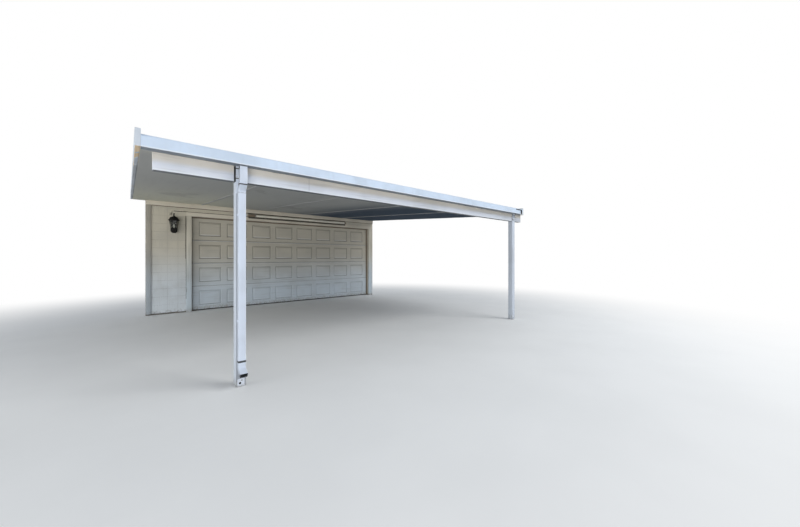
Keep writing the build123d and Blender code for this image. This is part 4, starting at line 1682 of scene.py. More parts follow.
@dataclass
class Downspout:
    """Rectangular downspout: outlet, offset, long pipe and kick-out shoe."""

    width: float = 0.068
    depth: float = 0.048
    gauge: float = 0.0012
    corner: float = 0.007
    bead: float = 0.0015
    bead_length: float = 0.012
    offset_bend: float = 1.927
    offset_fall: float = 0.060
    offset_radius: float = 0.060
    offset_lap: Flat = (0.161, 0.014)
    shoe_bend: float = 0.178
    shoe_reach: float = 0.076
    shoe_fall: float = 0.046
    shoe_radius: float = 0.042
    mouth_shade: float = 0.02
    crimp: float = 0.0016
    crimp_pitch: float = 0.0095
    strap_levels: Flat = (1.62, 0.62)
    strap_height: float = 0.022

    @cached_property
    def pipe(self) -> Extent:
        """Box of the long pipe."""
        return Extent.of("downspout_pipe")

    @cached_property
    def top(self) -> Extent:
        """Box of the offset."""
        return Extent.of("downspout_offset")

    def build(self) -> None:
        """Builds and dresses every piece."""
        top, pipe, y, foot = self.top, self.pipe, self.pipe.mid_y, Extent.of("downspout_shoe")
        drop = top.y0 + self.bead + self.depth / 2
        corners = [(drop, top.z1), (drop, self.offset_bend), (y, self.offset_bend - self.offset_fall)]
        corners.append((y, top.z0))
        lap = self.offset_lap
        self.duct("downspout_offset_elbows", corners, self.offset_radius, lap, "downspout_offset")
        lap = (pipe.z1 - pipe.z0 - self.bead_length, self.bead_length)
        self.duct("downspout_run", [(y, pipe.z1), (y, pipe.z0)], 0.0, lap, "downspout_pipe")
        mouth = (y - self.shoe_reach, self.shoe_bend - self.shoe_fall)
        corners = [(y, foot.z1), (y, self.shoe_bend), mouth]
        lap = (0.0, self.bead_length)
        self.duct("downspout_kick_out", corners, self.shoe_radius, lap, "downspout_shoe")
        dress("downspout_outlet", PIPE_ENAMEL)
        self.fixings()

    def route(self, corners: Sequence[Flat], radius: float) -> list[tuple[Vector, Vector, bool]]:
        """Points along a bent duct's middle.

        Args:
            corners: Corners of the route, as (y, z).
            radius: Radius of its bends.

        Returns:
            For each point its place, its direction, and whether it lies in a bend.
        """
        spots = [Vector(corner) for corner in corners]
        runs: list[tuple[Vector, Vector, bool]] = []
        start = spots[0]
        for index in range(1, len(spots)):
            way = (spots[index] - spots[index - 1]).normalized()
            if index == len(spots) - 1:
                end, turn = spots[index], 0.0
            else:
                onward = (spots[index + 1] - spots[index]).normalized()
                turn = way.angle(onward)
                end = spots[index] - way * radius * math.tan(turn / 2)
            for share in steps_between(0.0, 1.0, min(1.0, 0.01 / max((end - start).length, 0.001))):
                runs.append((start.lerp(end, share), way, False))
            if turn:
                side = 1 if way.x * onward.y - way.y * onward.x > 0 else -1
                centre = end + Vector((-way.y, way.x)) * radius * side
                for angle in steps_between(0.0, turn, 0.05)[1:]:
                    spin = Matrix.Rotation(side * angle, 2)
                    runs.append((centre + spin @ (end - centre), spin @ way, True))
                start = runs[-1][0]
        return runs

    def section(self, width: float, depth: float, corner: float) -> list[Flat]:
        """Rounded rectangle.

        Args:
            width, depth: Its size.
            corner: Radius of its corners.

        Returns:
            Its points, as (across, deep).
        """
        points = []
        for quarter in range(4):
            across = (width / 2 - corner) * (1 if quarter in (0, 3) else -1)
            deep = (depth / 2 - corner) * (1 if quarter in (0, 1) else -1)
            for step in range(4):
                angle = math.radians(90 * quarter + 30 * step)
                points.append((across + corner * math.cos(angle), deep + corner * math.sin(angle)))
        return points

    def duct(self, name: str, corners: Sequence[Flat], radius: float, lap: Flat, node: str) -> None:
        """One stretch of duct with its wall, lap and crimped bends.

        Args:
            name: The piece's name.
            corners: Corners of its middle line, as (y, z).
            radius: Radius of its bends.
            lap: Start and length of its lap bead along the route.
            node: CAD node that it stands for.
        """
        spots = self.route(corners, radius)
        outer, inner, swells = [], [], []
        travelled = 0.0
        for index, (place, way, bent) in enumerate(spots):
            if index:
                travelled += (place - spots[index - 1][0]).length
            normal = Vector((-way.y, way.x))
            on_lap = lap[0] - 0.001 <= travelled <= sum(lap) + 0.001
            swell = self.bead * 0.9 if on_lap else 0.0
            wave = 1 - math.cos(2 * math.pi * travelled / self.crimp_pitch)
            ridge = self.crimp * 0.5 * wave if bent else 0.0
            ring = []
            for across, deep in self.section(self.width + 2 * swell, self.depth + 2 * swell, self.corner):
                pinch = ridge * min(1.0, abs(across) / (self.width / 2) + 0.3)
                spot = place + normal * (deep - math.copysign(pinch, deep))
                ring.append((self.pipe.mid_x + across, spot.x, spot.y))
            outer.append(ring)
            clear = (self.width - 2 * self.gauge, self.depth - 2 * self.gauge - 2 * ridge)
            ring = []
            for across, deep in self.section(*clear, self.corner - self.gauge):
                spot = place + normal * deep
                ring.append((self.pipe.mid_x + across, spot.x, spot.y))
            inner.append(ring)
            swells.append(swell)
        work = Workpiece()
        work.loft(outer + inner[::-1] + [outer[0]], False)
        count, around = len(outer), len(outer[0])
        # Painted shade: the inside of the duct is dark.
        for face in list(work.mesh.faces)[count * around : (2 * count - 1) * around]:
            face[work.seam] = 1.0
        work.weld()
        pairs = zip(spots[1:], swells, swells[1:])
        beads = [place.y for (place, _, _), before, after in pairs if before > after]
        mouth, outward, _ = spots[-1]
        work.brand(work.seam, lambda middle, way: self.painted_shade_of_duct(middle, way, beads, mouth, outward))
        edge = self.pipe.mid_x + 0.3 * self.width

        def painted_highlight_at(middle: Vector, way: Vector) -> float:
            """How much painted highlight a face takes at the rounded corner on the right."""
            return 0.9 if way.x > 0.15 and way.y < -0.15 and middle.x > edge else 0.0

        work.brand(work.highlight_and_flakes, painted_highlight_at)
        work.finish(name, PIPE_ENAMEL, "white_metal", [node], 28.0)

    def painted_shade_of_duct(
        self, middle: Vector, way: Vector, beads: Sequence[float], mouth: Vector, outward: Vector
    ) -> float:
        """How much painted shade a face of a duct takes: under the lap beads, at its top, down its left
        side and in the shoe's mouth, with a faint dark joint at the pipe's top.

        Args:
            middle: Middle of the face.
            way: The way that it looks.
            beads: Heights of the lap beads' ends.
            mouth: End of the duct's middle line, as (y, z).
            outward: Direction of the line there.

        Returns:
            The value of the mark.
        """
        below_top = self.top.z1 - middle.z
        left = way.x < -0.9
        if any(abs(middle.z - level) < 0.006 for level in beads):
            return 1.0
        if 0.0 < middle.z - self.pipe.z1 < 0.01:
            return 0.3
        if below_top < 0.01:
            return 0.8
        if left and below_top < 0.035:
            return 0.9
        from_mouth = (mouth - Vector((middle.y, middle.z))).dot(outward)
        if outward.x < -0.5 and from_mouth < self.mouth_shade and left:
            return 0.95
        if left and middle.x < self.pipe.mid_x - 0.3 * self.width:
            return 0.4 if middle.z > self.offset_bend else 0.22
        return 0.0

    def fixings(self) -> None:
        """Screws at the laps and the two straps that hold the pipe to the post."""
        x, front = self.pipe.mid_x, self.pipe.mid_y - self.depth / 2
        screws = []
        for shift, low in product((-0.018, 0.018), (self.top.z0, self.pipe.z0)):
            screws.append(((x + shift, front - self.bead * 0.8, low + 0.006), FRONT))
        head = Head(0.0042, 0.0022, 6, 0.85, 9)
        STUDS.apply("downspout_screws", screws, head, PIPE_ENAMEL, "white_metal")
        work = Workpiece()
        back = Extent.of("post_left").y0 + 0.001
        near, reach, thin = front - 0.0012, self.width / 2 + 0.0012, 0.001
        outside = [(-reach, back), (-reach, near + 0.006), (-reach + 0.006, near)]
        inside = [(-reach + 0.0065, near + thin), (-reach + thin, near + 0.0065), (-reach + thin, back)]
        half = outside + [(-across, y) for across, y in reversed(outside)]
        half += [(-across, y) for across, y in reversed(inside)] + inside
        for level in self.strap_levels:
            outline = [(x + across, y) for across, y in half]
            work.bar(outline, Along.Z, [level, level + self.strap_height])
        work.finish("downspout_straps", PIPE_ENAMEL, "white_metal")


@dataclass
class GarageWall:
    """The garage's front wall: shingled piers and header with their trim."""

    course: float = 0.176
    shingle_gap: float = 0.0009
    course_gap: float = 0.0022
    butt: float = 0.0078
    backing: float = 0.003
    long_joints: tuple[float, ...] = (-2.4365, -2.2474)
    joint_width: float = 0.009
    shadow_strip_width: float = 0.013
    shadow_strip_depth: float = 0.004
    shadow_strip_levels: Flat = (0.3, 1.2)
    painted_shadow_height: float = 0.036
    painted_shadow_line: float = 0.020
    gap_depth: float = 0.003
    gap_height: float = 0.012
    overlap: float = 0.001

    def build(self) -> None:
        """Builds and dresses every piece."""
        for part, seed in (("left", 21), ("right", 22), ("header", 23)):
            self.shingles(part, seed)
        for node in ("wall_pier_left", "wall_pier_right", "wall_header"):
            dress(node, WALL_BOARD)
        self.uprights()
        self.head()
        self.gaps()
        dress("door_stops", STOP_PAINTED_SHADE)
        self.nails()

    def shingles(self, part: str, seed: int) -> None:
        """Courses of painted shingles over one part of the wall.

        Args:
            part: Left, right or header.
            seed: Seed of the small differences.
        """
        box = Extent.of(f"siding_{part}")
        choose = random.Random(seed)
        top = min(PITCH.level(box.y0), box.z1) - 0.002
        laid = []
        z, row = box.z0, 0
        while z < top - 0.02:
            height = min(self.course - self.course_gap, top - z)
            for low, high in self.widths(box, row, choose):
                drop = choose.uniform(-0.0015, 0.0) if row else choose.uniform(0.0, 0.016)
                depth = self.butt + choose.uniform(-0.0006, 0.0)
                middle = ((low + high) / 2, box.y0 + self.butt / 2 + 0.0016, z + drop / 2 + height / 2)
                laid.append((middle, (high - low - self.shingle_gap, depth, height - abs(drop))))
            z += self.course
            row += 1
        tilt = {"Tilt": -math.atan2(0.0022, self.course)}
        node, slot = f"siding_{part}", "siding_paint"
        SHINGLES.grow(f"{node}_shingles", laid, tilt, SIDING, slot, [node])
        low = box.z0 + (0.012 if part != "header" else 0.0)
        back, half = box.y1 - self.backing, self.joint_width / 2
        # The dark backing paints the shade in the gaps between the shingles.
        blocks(f"{node}_backing", [((box.x0, box.x1), (back, box.y1), (low, top))], SIDING_SHADE, slot)
        strips = Workpiece()
        for joint in self.long_joints:
            if box.x0 < joint < box.x1:
                strips.block((joint - half, joint + half), (box.y0 + 0.0006, back), (low, top))
        if strips.mesh.faces:
            # The long joints' fronts are a little dark; their sides take painted shade.
            strips.brand(strips.seam, lambda middle, way: 0.16 if way.y < -0.5 else 0.6)
            strips.finish(f"{node}_joint_strips", SIDING, slot)

    def widths(self, box: Extent, row: int, choose: random.Random) -> list[Flat]:
        """Low and high x of each shingle in a course.

        Args:
            box: Box of that part of the wall.
            row: Number of the course.
            choose: Source of the widths.

        Returns:
            The shingles, from left to right.
        """
        stops = [x for x in self.long_joints if box.x0 < x < box.x1]
        spans = []
        for x, end in zip([box.x0, *stops], [*stops, box.x1]):
            reach = choose.uniform(0.06, 0.12) if row % 2 else choose.uniform(0.14, 0.22)
            while x < end - 0.001:
                following = end if end - x - reach < 0.07 else x + reach
                spans.append((x, following))
                x = following
                reach = choose.uniform(0.14, 0.23)
        return spans

    def uprights(self) -> None:
        """Corner board and casings with eased edges, and the painted shadow beside the left casing."""
        for node, name, paint in (
            ("corner_board_left", "corner_board", CORNER_PAINT),
            ("casing_left", "casing_left_board", TRIM_UP),
            ("casing_right", "casing_right_board", TRIM_UP),
        ):
            box = Extent.of(node)
            work = Workpiece()
            outline = rectangle((box.x0, box.x1), (box.y0, box.y1))
            work.bar(outline, Along.Z, steps_between(box.z0, box.z1, 0.2))
            work.soften(0.0032)
            work.finish(name, paint, "trim_paint", [node])
        box = Extent.of("casing_left")
        depth, (low, high) = (box.y1 - self.shadow_strip_depth, box.y1), self.shadow_strip_levels
        for name, width, levels, finish in (
            ("casing_left_painted_shadow", self.shadow_strip_width, (high, box.z1), SHADE_BLACK),
            ("casing_left_painted_shadow_foot", 0.5 * self.shadow_strip_width, (low, high), SHADOW_PAINT),
        ):
            blocks(name, [((box.x0 - width, box.x0 + HIDDEN), depth, levels)], finish, "trim_paint")

    def head(self) -> None:
        """Head casing, with painted shadow behind the strip light, and the frieze board."""
        box, light = Extent.of("casing_head"), Extent.of("strip_light_holders")
        shadow_painted = box.z1 - self.painted_shadow_height
        work = Workpiece()
        ends = [box.x0, *steps_between(light.x0, light.x1, 0.4), box.x1]
        work.bar([*rectangle((box.y0, box.y1), (box.z0, box.z1)), (box.y0, shadow_painted)], Along.X, ends)
        work.soften(0.0032)

        def painted_shade_at(middle: Vector, way: Vector) -> float:
            """How much painted shadow a face takes behind the strip light."""
            behind = light.x0 < middle.x < light.x1 and middle.z > shadow_painted
            return 0.95 if behind and (way.y < -0.5 or way.z > 0.5) else 0.0

        work.brand(work.seam, painted_shade_at)
        work.finish("casing_head_board", TRIM_ACROSS, "trim_paint", ["casing_head"])
        box = Extent.of("frieze_board")
        work = Workpiece()
        outline = [(box.y0, box.z0), (box.y1, box.z0)]
        outline += [(y, PITCH.level(y)) for y in (box.y1, box.y0)]
        work.bar(outline, Along.X, steps_between(box.x0, box.x1, 0.4))
        work.soften(0.0030)
        # Painted shade on the frieze's underside.
        work.brand(work.seam, lambda middle, way: 1.0 if way.z < -0.5 else 0.0)
        work.finish("frieze_under_ceiling", TRIM_ACROSS, "trim_paint", ["frieze_board"])

    def gaps(self) -> None:
        """Painted shadow in strips and dark gaps along the frieze and the strip light."""
        frieze, light = Extent.of("frieze_board"), Extent.of("strip_light_holders")
        face, casing_top = Extent.of("siding_header").y0, Extent.of("casing_head").z1
        depth, over, lap = (face - self.gap_depth, face), (light.x0, light.x1), self.overlap
        levels = (frieze.z0 - self.painted_shadow_line, frieze.z0 + lap)
        blocks("strip_light_painted_shadow", [(over, depth, levels)], SHADOW_PAINT, "trim_paint")
        levels = (casing_top - lap, light.z0 + lap)
        blocks("strip_light_shadow_gap", [(over, depth, levels)], SHADE_BLACK, "trim_paint")
        levels = (frieze.z0 - self.gap_height, frieze.z0 + lap)
        beside = [((frieze.x0 + 0.1, light.x0), depth, levels), ((light.x1, frieze.x1), depth, levels)]
        blocks("frieze_gap", beside, STOP_PAINTED_SHADE, "trim_paint")

    def nails(self) -> None:
        """Painted nail heads in the trim."""
        heads = []
        for node in ("corner_board_left", "casing_left", "casing_right"):
            box = Extent.of(node)
            for z in steps_between(box.z0 + 0.08, box.z1 - 0.06, 0.4):
                heads += [((x, box.y0 + PROUD, z), FRONT) for x in (box.x0 + 0.018, box.x1 - 0.018)]
        for node in ("casing_head", "frieze_board"):
            box = Extent.of(node)
            for x in steps_between(box.x0 + 0.06, box.x1 - 0.06, 0.42):
                heads += [((x, box.y0 + PROUD, z), FRONT) for z in (box.z0 + 0.018, box.z0 + 0.07)]
        STUDS.apply("trim_nails", heads, Head(0.0036, 0.0009, 8, 0.75, 12), TRIM_UP, "trim_paint")


@dataclass(frozen=True)
class Moulding:
    """One ring of a raised panel: its place, and the painted shade, dirt and painted highlight of the faces
    inside it.
    """

    inset: float
    sunk: float
    dirt: float = 0.0
    overhead: float = 0.0
    pale: float = 0.0

    def marks(self) -> list[Flat]:
        """Painted shade with dirt, and painted highlight, of the lower, right, upper and left face inside
        the ring.
        """
        overhead = max(0.35 * self.dirt, self.overhead)
        return [(self.dirt, self.pale), (0.75 * self.dirt, 0.0), (overhead, 0.0), (0.5 * self.dirt, 0.0)]


# Columns: inset and sunk place each ring; dirt darkens the grooves with painted shade as well as dirt;
# overhead darkens faces that look down with painted shade; pale lightens faces that look up with painted
# highlight.
RAISED = (
    Moulding(0.0, 0.0, 0.0, 0.25, 0.3),
    Moulding(0.0040, 0.0030, 0.4, 0.3),
    Moulding(0.0070, 0.0090, 0.9, 0.4),
    Moulding(0.0110, 0.0120, 1.0, 0.4),
    Moulding(0.0180, 0.0120, 0.7, 0.35),
    Moulding(0.0220, 0.0095, 0.0, 0.25, 0.35),
    Moulding(0.0440, 0.0035, 0.0, 0.1, 0.2),
    Moulding(0.0470, 0.0020),
)


@dataclass
class SectionalDoor:
    """Closed sectional door: four sections of raised panels, seal, tracks and hinges."""

    sections: int = 4
    columns: int = 8
    panel_width: float = 0.468
    panel_gap: float = 0.118
    panel_rail: float = 0.098
    arris: float = 0.004
    shoulder: float = 0.015
    shoulder_depth: float = 0.007
    joint_gap: float = 0.011
    tongue: float = 0.0125
    pocket: float = 0.020
    hinge_margin: float = 0.045
    hinge_half: Flat = (0.022, 0.04)
    screw_places: Flat = (0.011, 0.028)

    @property
    def panels_width(self) -> float:
        """Width from the first panel to the last."""
        return self.columns * self.panel_width + (self.columns - 1) * self.panel_gap

    def build(self) -> None:
        """Builds and dresses every piece."""
        for number in range(1, self.sections + 1):
            self.section(number)
        self.seal()
        self.tracks()
        self.hinges()

    def nest(
        self, work: Workpiece, x: Flat, z: Flat, y: float, way: float, profile: Sequence[Moulding]
    ) -> None:
        """Rings of a moulded panel, from its rim to its field.

        Args:
            work: The piece that it belongs to.
            x, z: Faces of the panel's rim.
            y: Place of the face that it is sunk in.
            way: 1 where the face looks to the front, -1 to the back.
            profile: The rings, from the rim inward.
        """
        layers = []
        for ring in profile:
            inset = ring.inset
            corners = rectangle((x[0] + inset, x[1] - inset), (z[0] + inset, z[1] - inset))
            depth = y + way * ring.sunk
            layers.append([work.mesh.verts.new((across, depth, level)) for across, level in corners])
        for near, far, ring in zip(layers, layers[1:], profile):
            for index, (dirt, pale) in enumerate(ring.marks()):
                following = (index + 1) % 4
                face = work.mesh.faces.new((near[index], near[following], far[following], far[index]))
                face[work.seam] = dirt
                face[work.highlight_and_flakes] = pale
        work.mesh.faces.new(layers[-1])

    def section(self, number: int) -> None:
        """One section: stiles and rails round its raised panels, with sunk backs.

        Args:
            number: Which of the four, from below.
        """
        node = f"door_section_{number}"
        box = Extent.of(node)
        low, high = box.z0 + (self.joint_gap if number > 1 else 0.0), box.z1
        work = Workpiece()
        first = box.mid_x - self.panels_width / 2
        xs = [box.x0 + self.arris]
        for column in range(self.columns):
            start = first + column * (self.panel_width + self.panel_gap)
            xs += [start, start + self.panel_width]
        xs.append(box.x1 - self.arris)
        zs = [low + self.arris, box.z0 + self.panel_rail, box.z1 - self.panel_rail, high - self.shoulder]
        pocket = (Moulding(0.0, 0.0), Moulding(0.0012, self.pocket))
        for y, way, profile in ((box.y0, 1.0, RAISED), (box.y1, -1.0, pocket)):
            for column, row in product(range(len(xs) - 1), range(3)):
                x, z = (xs[column], xs[column + 1]), (zs[row], zs[row + 1])
                if row == 1 and column % 2:
                    self.nest(work, x, z, y, way, profile)
                else:
                    work.mesh.faces.new([work.mesh.verts.new((a, y, b)) for a, b in rectangle(x, z)])
        inner = rectangle((xs[0], xs[-1]), (zs[0], zs[-1]))
        outer = rectangle((box.x0, box.x1), (low, high))
        depths = (box.y0, box.y0 + self.shoulder_depth, box.y1 - self.arris, box.y1)
        rims = zip(depths, (inner, outer, outer, inner))
        work.loft([[(x, y, z) for x, z in rim] for y, rim in rims], False)
        if number < self.sections:
            inside = (box.y0 + self.tongue, box.y1 - self.tongue)
            tongue = (high - 0.004, high + self.joint_gap)
            work.block((box.x0 + 0.001, box.x1 - 0.001), inside, tongue, 1.0)
        work.weld()

        def shadow_painted(middle: Vector, way: Vector) -> float:
            """Whether a face takes painted shadow: in a joint between two sections, or looking straight up
            or down.
            """
            in_gap = middle.z > high + HIDDEN or middle.z < low + HIDDEN
            return 1.0 if in_gap or abs(way.z) > 0.95 else 0.0

        def pale(middle: Vector, way: Vector) -> float:
            """How much painted highlight a face takes on the shoulder."""
            return 0.5 if way.z > 0.25 and way.y < -0.5 and middle.z > zs[-1] else 0.0

        def hung(point: Vector) -> Vector:
            """Lets the section wander a little inward."""
            point.y += 0.0006 * (number % 2) + 0.0006 * (1 + wander(point.x * 1.5, 0.0, number * 3.0))
            return point

        work.brand(work.seam, shadow_painted)
        work.brand(work.highlight_and_flakes, pale)
        work.reshape(hung)
        work.finish(f"{node}_panels", DOOR, "door_enamel", [node], 22.0)

    def seal(self) -> None:
        """Ribbed rubber seal under the lowest section."""
        box = Extent.of("door_seal")
        half = (box.y1 - box.y0) / 2
        ribs = [(-1.0, box.z1), (-1.0, box.z0 + 0.006), (-0.8, box.z0 + 0.001), (-0.4, box.z0)]
        ribs += [(0.0, box.z0 + 0.002), *((-share, z) for share, z in reversed(ribs))]
        work = Workpiece()
        outline = [(box.mid_y + share * half, z) for share, z in ribs]
        work.bar(outline, Along.X, steps_between(box.x0, box.x1, 0.4))
        work.finish("door_bottom_seal", SEAL, "seal_rubber", ["door_seal"])

    def tracks(self) -> None:
        """Upright tracks behind the wall, with their bolts."""
        dress("door_tracks", ZINC)
        box, back = Extent.of("door_tracks"), Extent.of("wall_pier_left").y1 + 0.003
        levels = steps_between(0.16, box.z1 - 0.1, 0.45)
        bolts = [((x, back, z), BACK) for x, z in product((box.x0 + 0.014, box.x1 - 0.014), levels)]
        STUDS.apply("door_track_bolts", bolts, Head(0.0065, 0.0045, 6, 0.9, 14), BOLT, "galvanised_steel")

    def hinges(self) -> None:
        """Hinge leaves over the joints at the back of the door."""
        leaves, heads = [], []
        first = Extent.of("door_section_1")
        start = first.mid_x - self.panels_width / 2
        places = [start - self.hinge_margin]
        for column in range(self.columns - 1):
            places.append(start + (column + 1) * self.panel_width + (column + 0.5) * self.panel_gap)
        places.append(start + self.panels_width + self.hinge_margin)
        across, up = self.hinge_half
        aside, above = self.screw_places
        depth = (first.y1 + 0.0008, first.y1 + 0.003)
        for number, x in product(range(2, self.sections + 1), places[::2]):
            joint = Extent.of(f"door_section_{number}").z0
            leaves.append(((x - across, x + across), depth, (joint - up, joint + up)))
            for z, shift in product((joint - above, joint + above), (-aside, aside)):
                heads.append(((x + shift, depth[1], z), BACK))
        blocks("door_hinges", leaves, ZINC, "galvanised_steel", 0.001)
        head = Head(0.0038, 0.0018, 6, 0.85, 15)
        STUDS.apply("door_hinge_screws", heads, head, BOLT, "galvanised_steel")


HOOD = (
    (0.0, 0.104),
    (0.004, 0.1065),
    (0.010, 0.1065),
    (0.016, 0.099),
    (0.029, 0.0880),
    (0.046, 0.0800),
    (0.064, 0.0700),
    (0.073, 0.0560),
    (0.081, 0.0360),
    (0.094, 0.0200),
    (0.108, 0.0120),
    (0.120, 0.0080),
)
FINIAL = (
    (0.119, 0.006),
    (0.123, 0.009),
    (0.126, 0.0065),
    (0.131, 0.0125),
    (0.140, 0.0150),
    (0.150, 0.0125),
    (0.157, 0.007),
    (0.1625, 0.0025),
)
BOWL = ((0.0, 0.024), (0.008, 0.036), (0.020, 0.050), (0.036, 0.059), (0.050, 0.0625), (0.096, 0.0625))
LAMPHOLDER = ((0.0, 0.024), (0.006, 0.024), (0.008, 0.014), (0.018, 0.014))
LAMP = (
    (0.018, 0.010),
    (0.026, 0.012),
    (0.040, 0.019),
    (0.056, 0.022),
    (0.072, 0.020),
    (0.088, 0.013),
    (0.096, 0.004),
)


@dataclass
class Lantern:
    """Six-sided wall lantern with a flared hood, glazed cage and closed bowl."""

    sides: int = 6
    hood_height: float = 0.163
    bowl_height: float = 0.096
    glass_top: float = 0.082
    glass_bottom: float = 0.058
    glass_gauge: float = 0.003
    bar_depth: float = 0.005
    bar_width: float = 0.009
    band_height: float = 0.008
    plate_rise: float = 0.012
    plate_corner: float = 0.028
    plate_half: Flat = (0.042, 0.047)
    arm_radius: float = 0.009
    liner_inset: float = 0.0045

    @cached_property
    def box(self) -> Extent:
        """Box of the metalwork."""
        return Extent.of("lantern_frame")

    @cached_property
    def axis(self) -> Flat:
        """Place of the lantern's upright axis, as (x, y)."""
        glass = Extent.of("lantern_glass")
        return glass.mid_x, glass.mid_y

    @property
    def hood_base(self) -> float:
        """Height of the hood's foot."""
        return self.box.z1 - self.hood_height

    @property
    def glass_base(self) -> float:
        """Height of the glass's foot."""
        return self.box.z0 + self.bowl_height

    def build(self) -> None:
        """Builds and dresses every piece."""
        self.metalwork()
        self.glass()
        self.lamp()

    def ring(self, z: float, radius: float, sides: int) -> list[Point]:
        """Points of a many-sided ring about the lantern's axis."""
        x, y = self.axis
        return [(x + radius * math.cos(a), y + radius * math.sin(a), z) for a in circle(sides)]

    def turned(self, base: float, profile: Sequence[Flat], sides: int) -> list[list[Point]]:
        """Rings of a turned form, from the height above its foot and the radius of each."""
        return [self.ring(base + z, radius, sides) for z, radius in profile]

    def metalwork(self) -> None:
        """Hood, finial, cage, bowl, arm and wall plate."""
        work = Workpiece()
        work.loft(self.turned(self.hood_base, HOOD, self.sides))
        work.loft(self.turned(self.box.z0, BOWL, self.sides))
        top, bottom = self.glass_top + self.bar_depth, self.glass_bottom + self.bar_depth
        for level, radius in ((self.glass_base, bottom), (self.hood_base - self.band_height, top)):
            high = level + self.band_height
            spots = ((level, radius), (high, radius), (high, radius - 0.005), (level, radius - 0.005))
            rings = [self.ring(*spot, self.sides) for spot in spots]
            work.loft([*rings, rings[0]], False)
        for angle in circle(self.sides):
            out = Vector((math.cos(angle), math.sin(angle), 0.0))
            side = Vector((-out.y, out.x, 0.0)) * self.bar_width / 2
            rings = []
            for z, radius in ((self.glass_base, bottom), (self.hood_base, top)):
                centre = Vector((*self.axis, z)) + out * radius
                inner = centre - out * self.bar_depth
                corners = (centre - side * 0.6, centre + side * 0.6, inner + side, inner - side)
                rings.append([tuple(corner) for corner in corners])
            work.loft(rings)
        work.weld()
        work.soften(0.0012, 2, 25.0)
        work.loft(self.turned(self.hood_base, FINIAL, 20))
        self.plate(work)
        work.finish("lantern_metalwork", LANTERN_BLACK, "lantern_black", ["lantern_frame"], 24.0)

    def plate(self, work: Workpiece) -> None:
        """Wall plate with rounded corners, and the arm from it.

        Args:
            work: The piece that they belong to.
        """
        x, y = self.axis
        wall, middle = self.box.y1, self.hood_base + self.plate_rise
        outline = []
        for angle in circle(32, 0.5):
            corner = (self.plate_corner * math.cos(angle), self.plate_corner * math.sin(angle))
            away = [math.copysign(half, part) for half, part in zip(self.plate_half, corner)]
            outline.append((x + away[0] + corner[0], middle + away[1] + corner[1]))
        work.loft([[(px, wall - depth, pz) for px, pz in outline] for depth in (0.0, 0.010)])
        inner = [(x + (px - x) * 0.86, middle + (pz - middle) * 0.88) for px, pz in outline]
        work.loft([[(px, wall - depth, pz) for px, pz in inner] for depth in (0.010, 0.014)])
        rings = []
        for stop in (wall - 0.013, y + 0.02):
            arm = self.arm_radius
            rings.append([(x + arm * math.cos(a), stop, middle + arm * math.sin(a)) for a in circle(16)])
        work.loft(rings)

    def glass(self) -> None:
        """Tapered glazing inside the cage."""
        levels, gauge = (self.glass_base, self.hood_base), self.glass_gauge
        finish = DustyGlass("lantern_panes", srgb(226, 228, 222), srgb(120, 116, 106), *levels)
        radii = (self.glass_bottom, self.glass_top)
        spots = [*zip(levels, radii), *zip(levels[::-1], (radii[1] - gauge, radii[0] - gauge))]
        rings = [self.ring(*spot, self.sides) for spot in spots]
        work = Workpiece()
        work.loft([*rings, rings[0]], False)
        work.weld()
        work.finish("lantern_glazing", finish, "lantern_glass", ["lantern_glass"], 20.0)

    def lamp(self) -> None:
        """Black liner that paints the shade inside the cage, lampholder and bulb, which show through the
        glass.
        """
        x, y = self.axis
        flat = math.cos(math.pi / self.sides)
        angles = steps_between(math.radians(-30), math.radians(165), math.radians(20))
        rings = []
        for z, radius in ((self.glass_base, self.glass_bottom), (self.hood_base, self.glass_top)):
            outer = radius - self.liner_inset
            spots = [(outer, a) for a in angles] + [(outer - 0.002, a) for a in reversed(angles)]
            rings.append([(x + flat * r * math.cos(a), y + flat * r * math.sin(a), z) for r, a in spots])
        work = Workpiece()
        work.loft(rings)
        work.finish("lantern_liner", SHADE_BLACK, "lantern_black")
        base = self.glass_base - 0.002
        work = Workpiece()
        work.loft(self.turned(base, LAMPHOLDER, 16))
        work.finish("lantern_lampholder", LANTERN_BLACK, "lantern_black")
        work = Workpiece()
        work.loft(self.turned(base, LAMP, 20))
        work.finish("lantern_bulb", BULB, "light_tube", smooth=60.0)


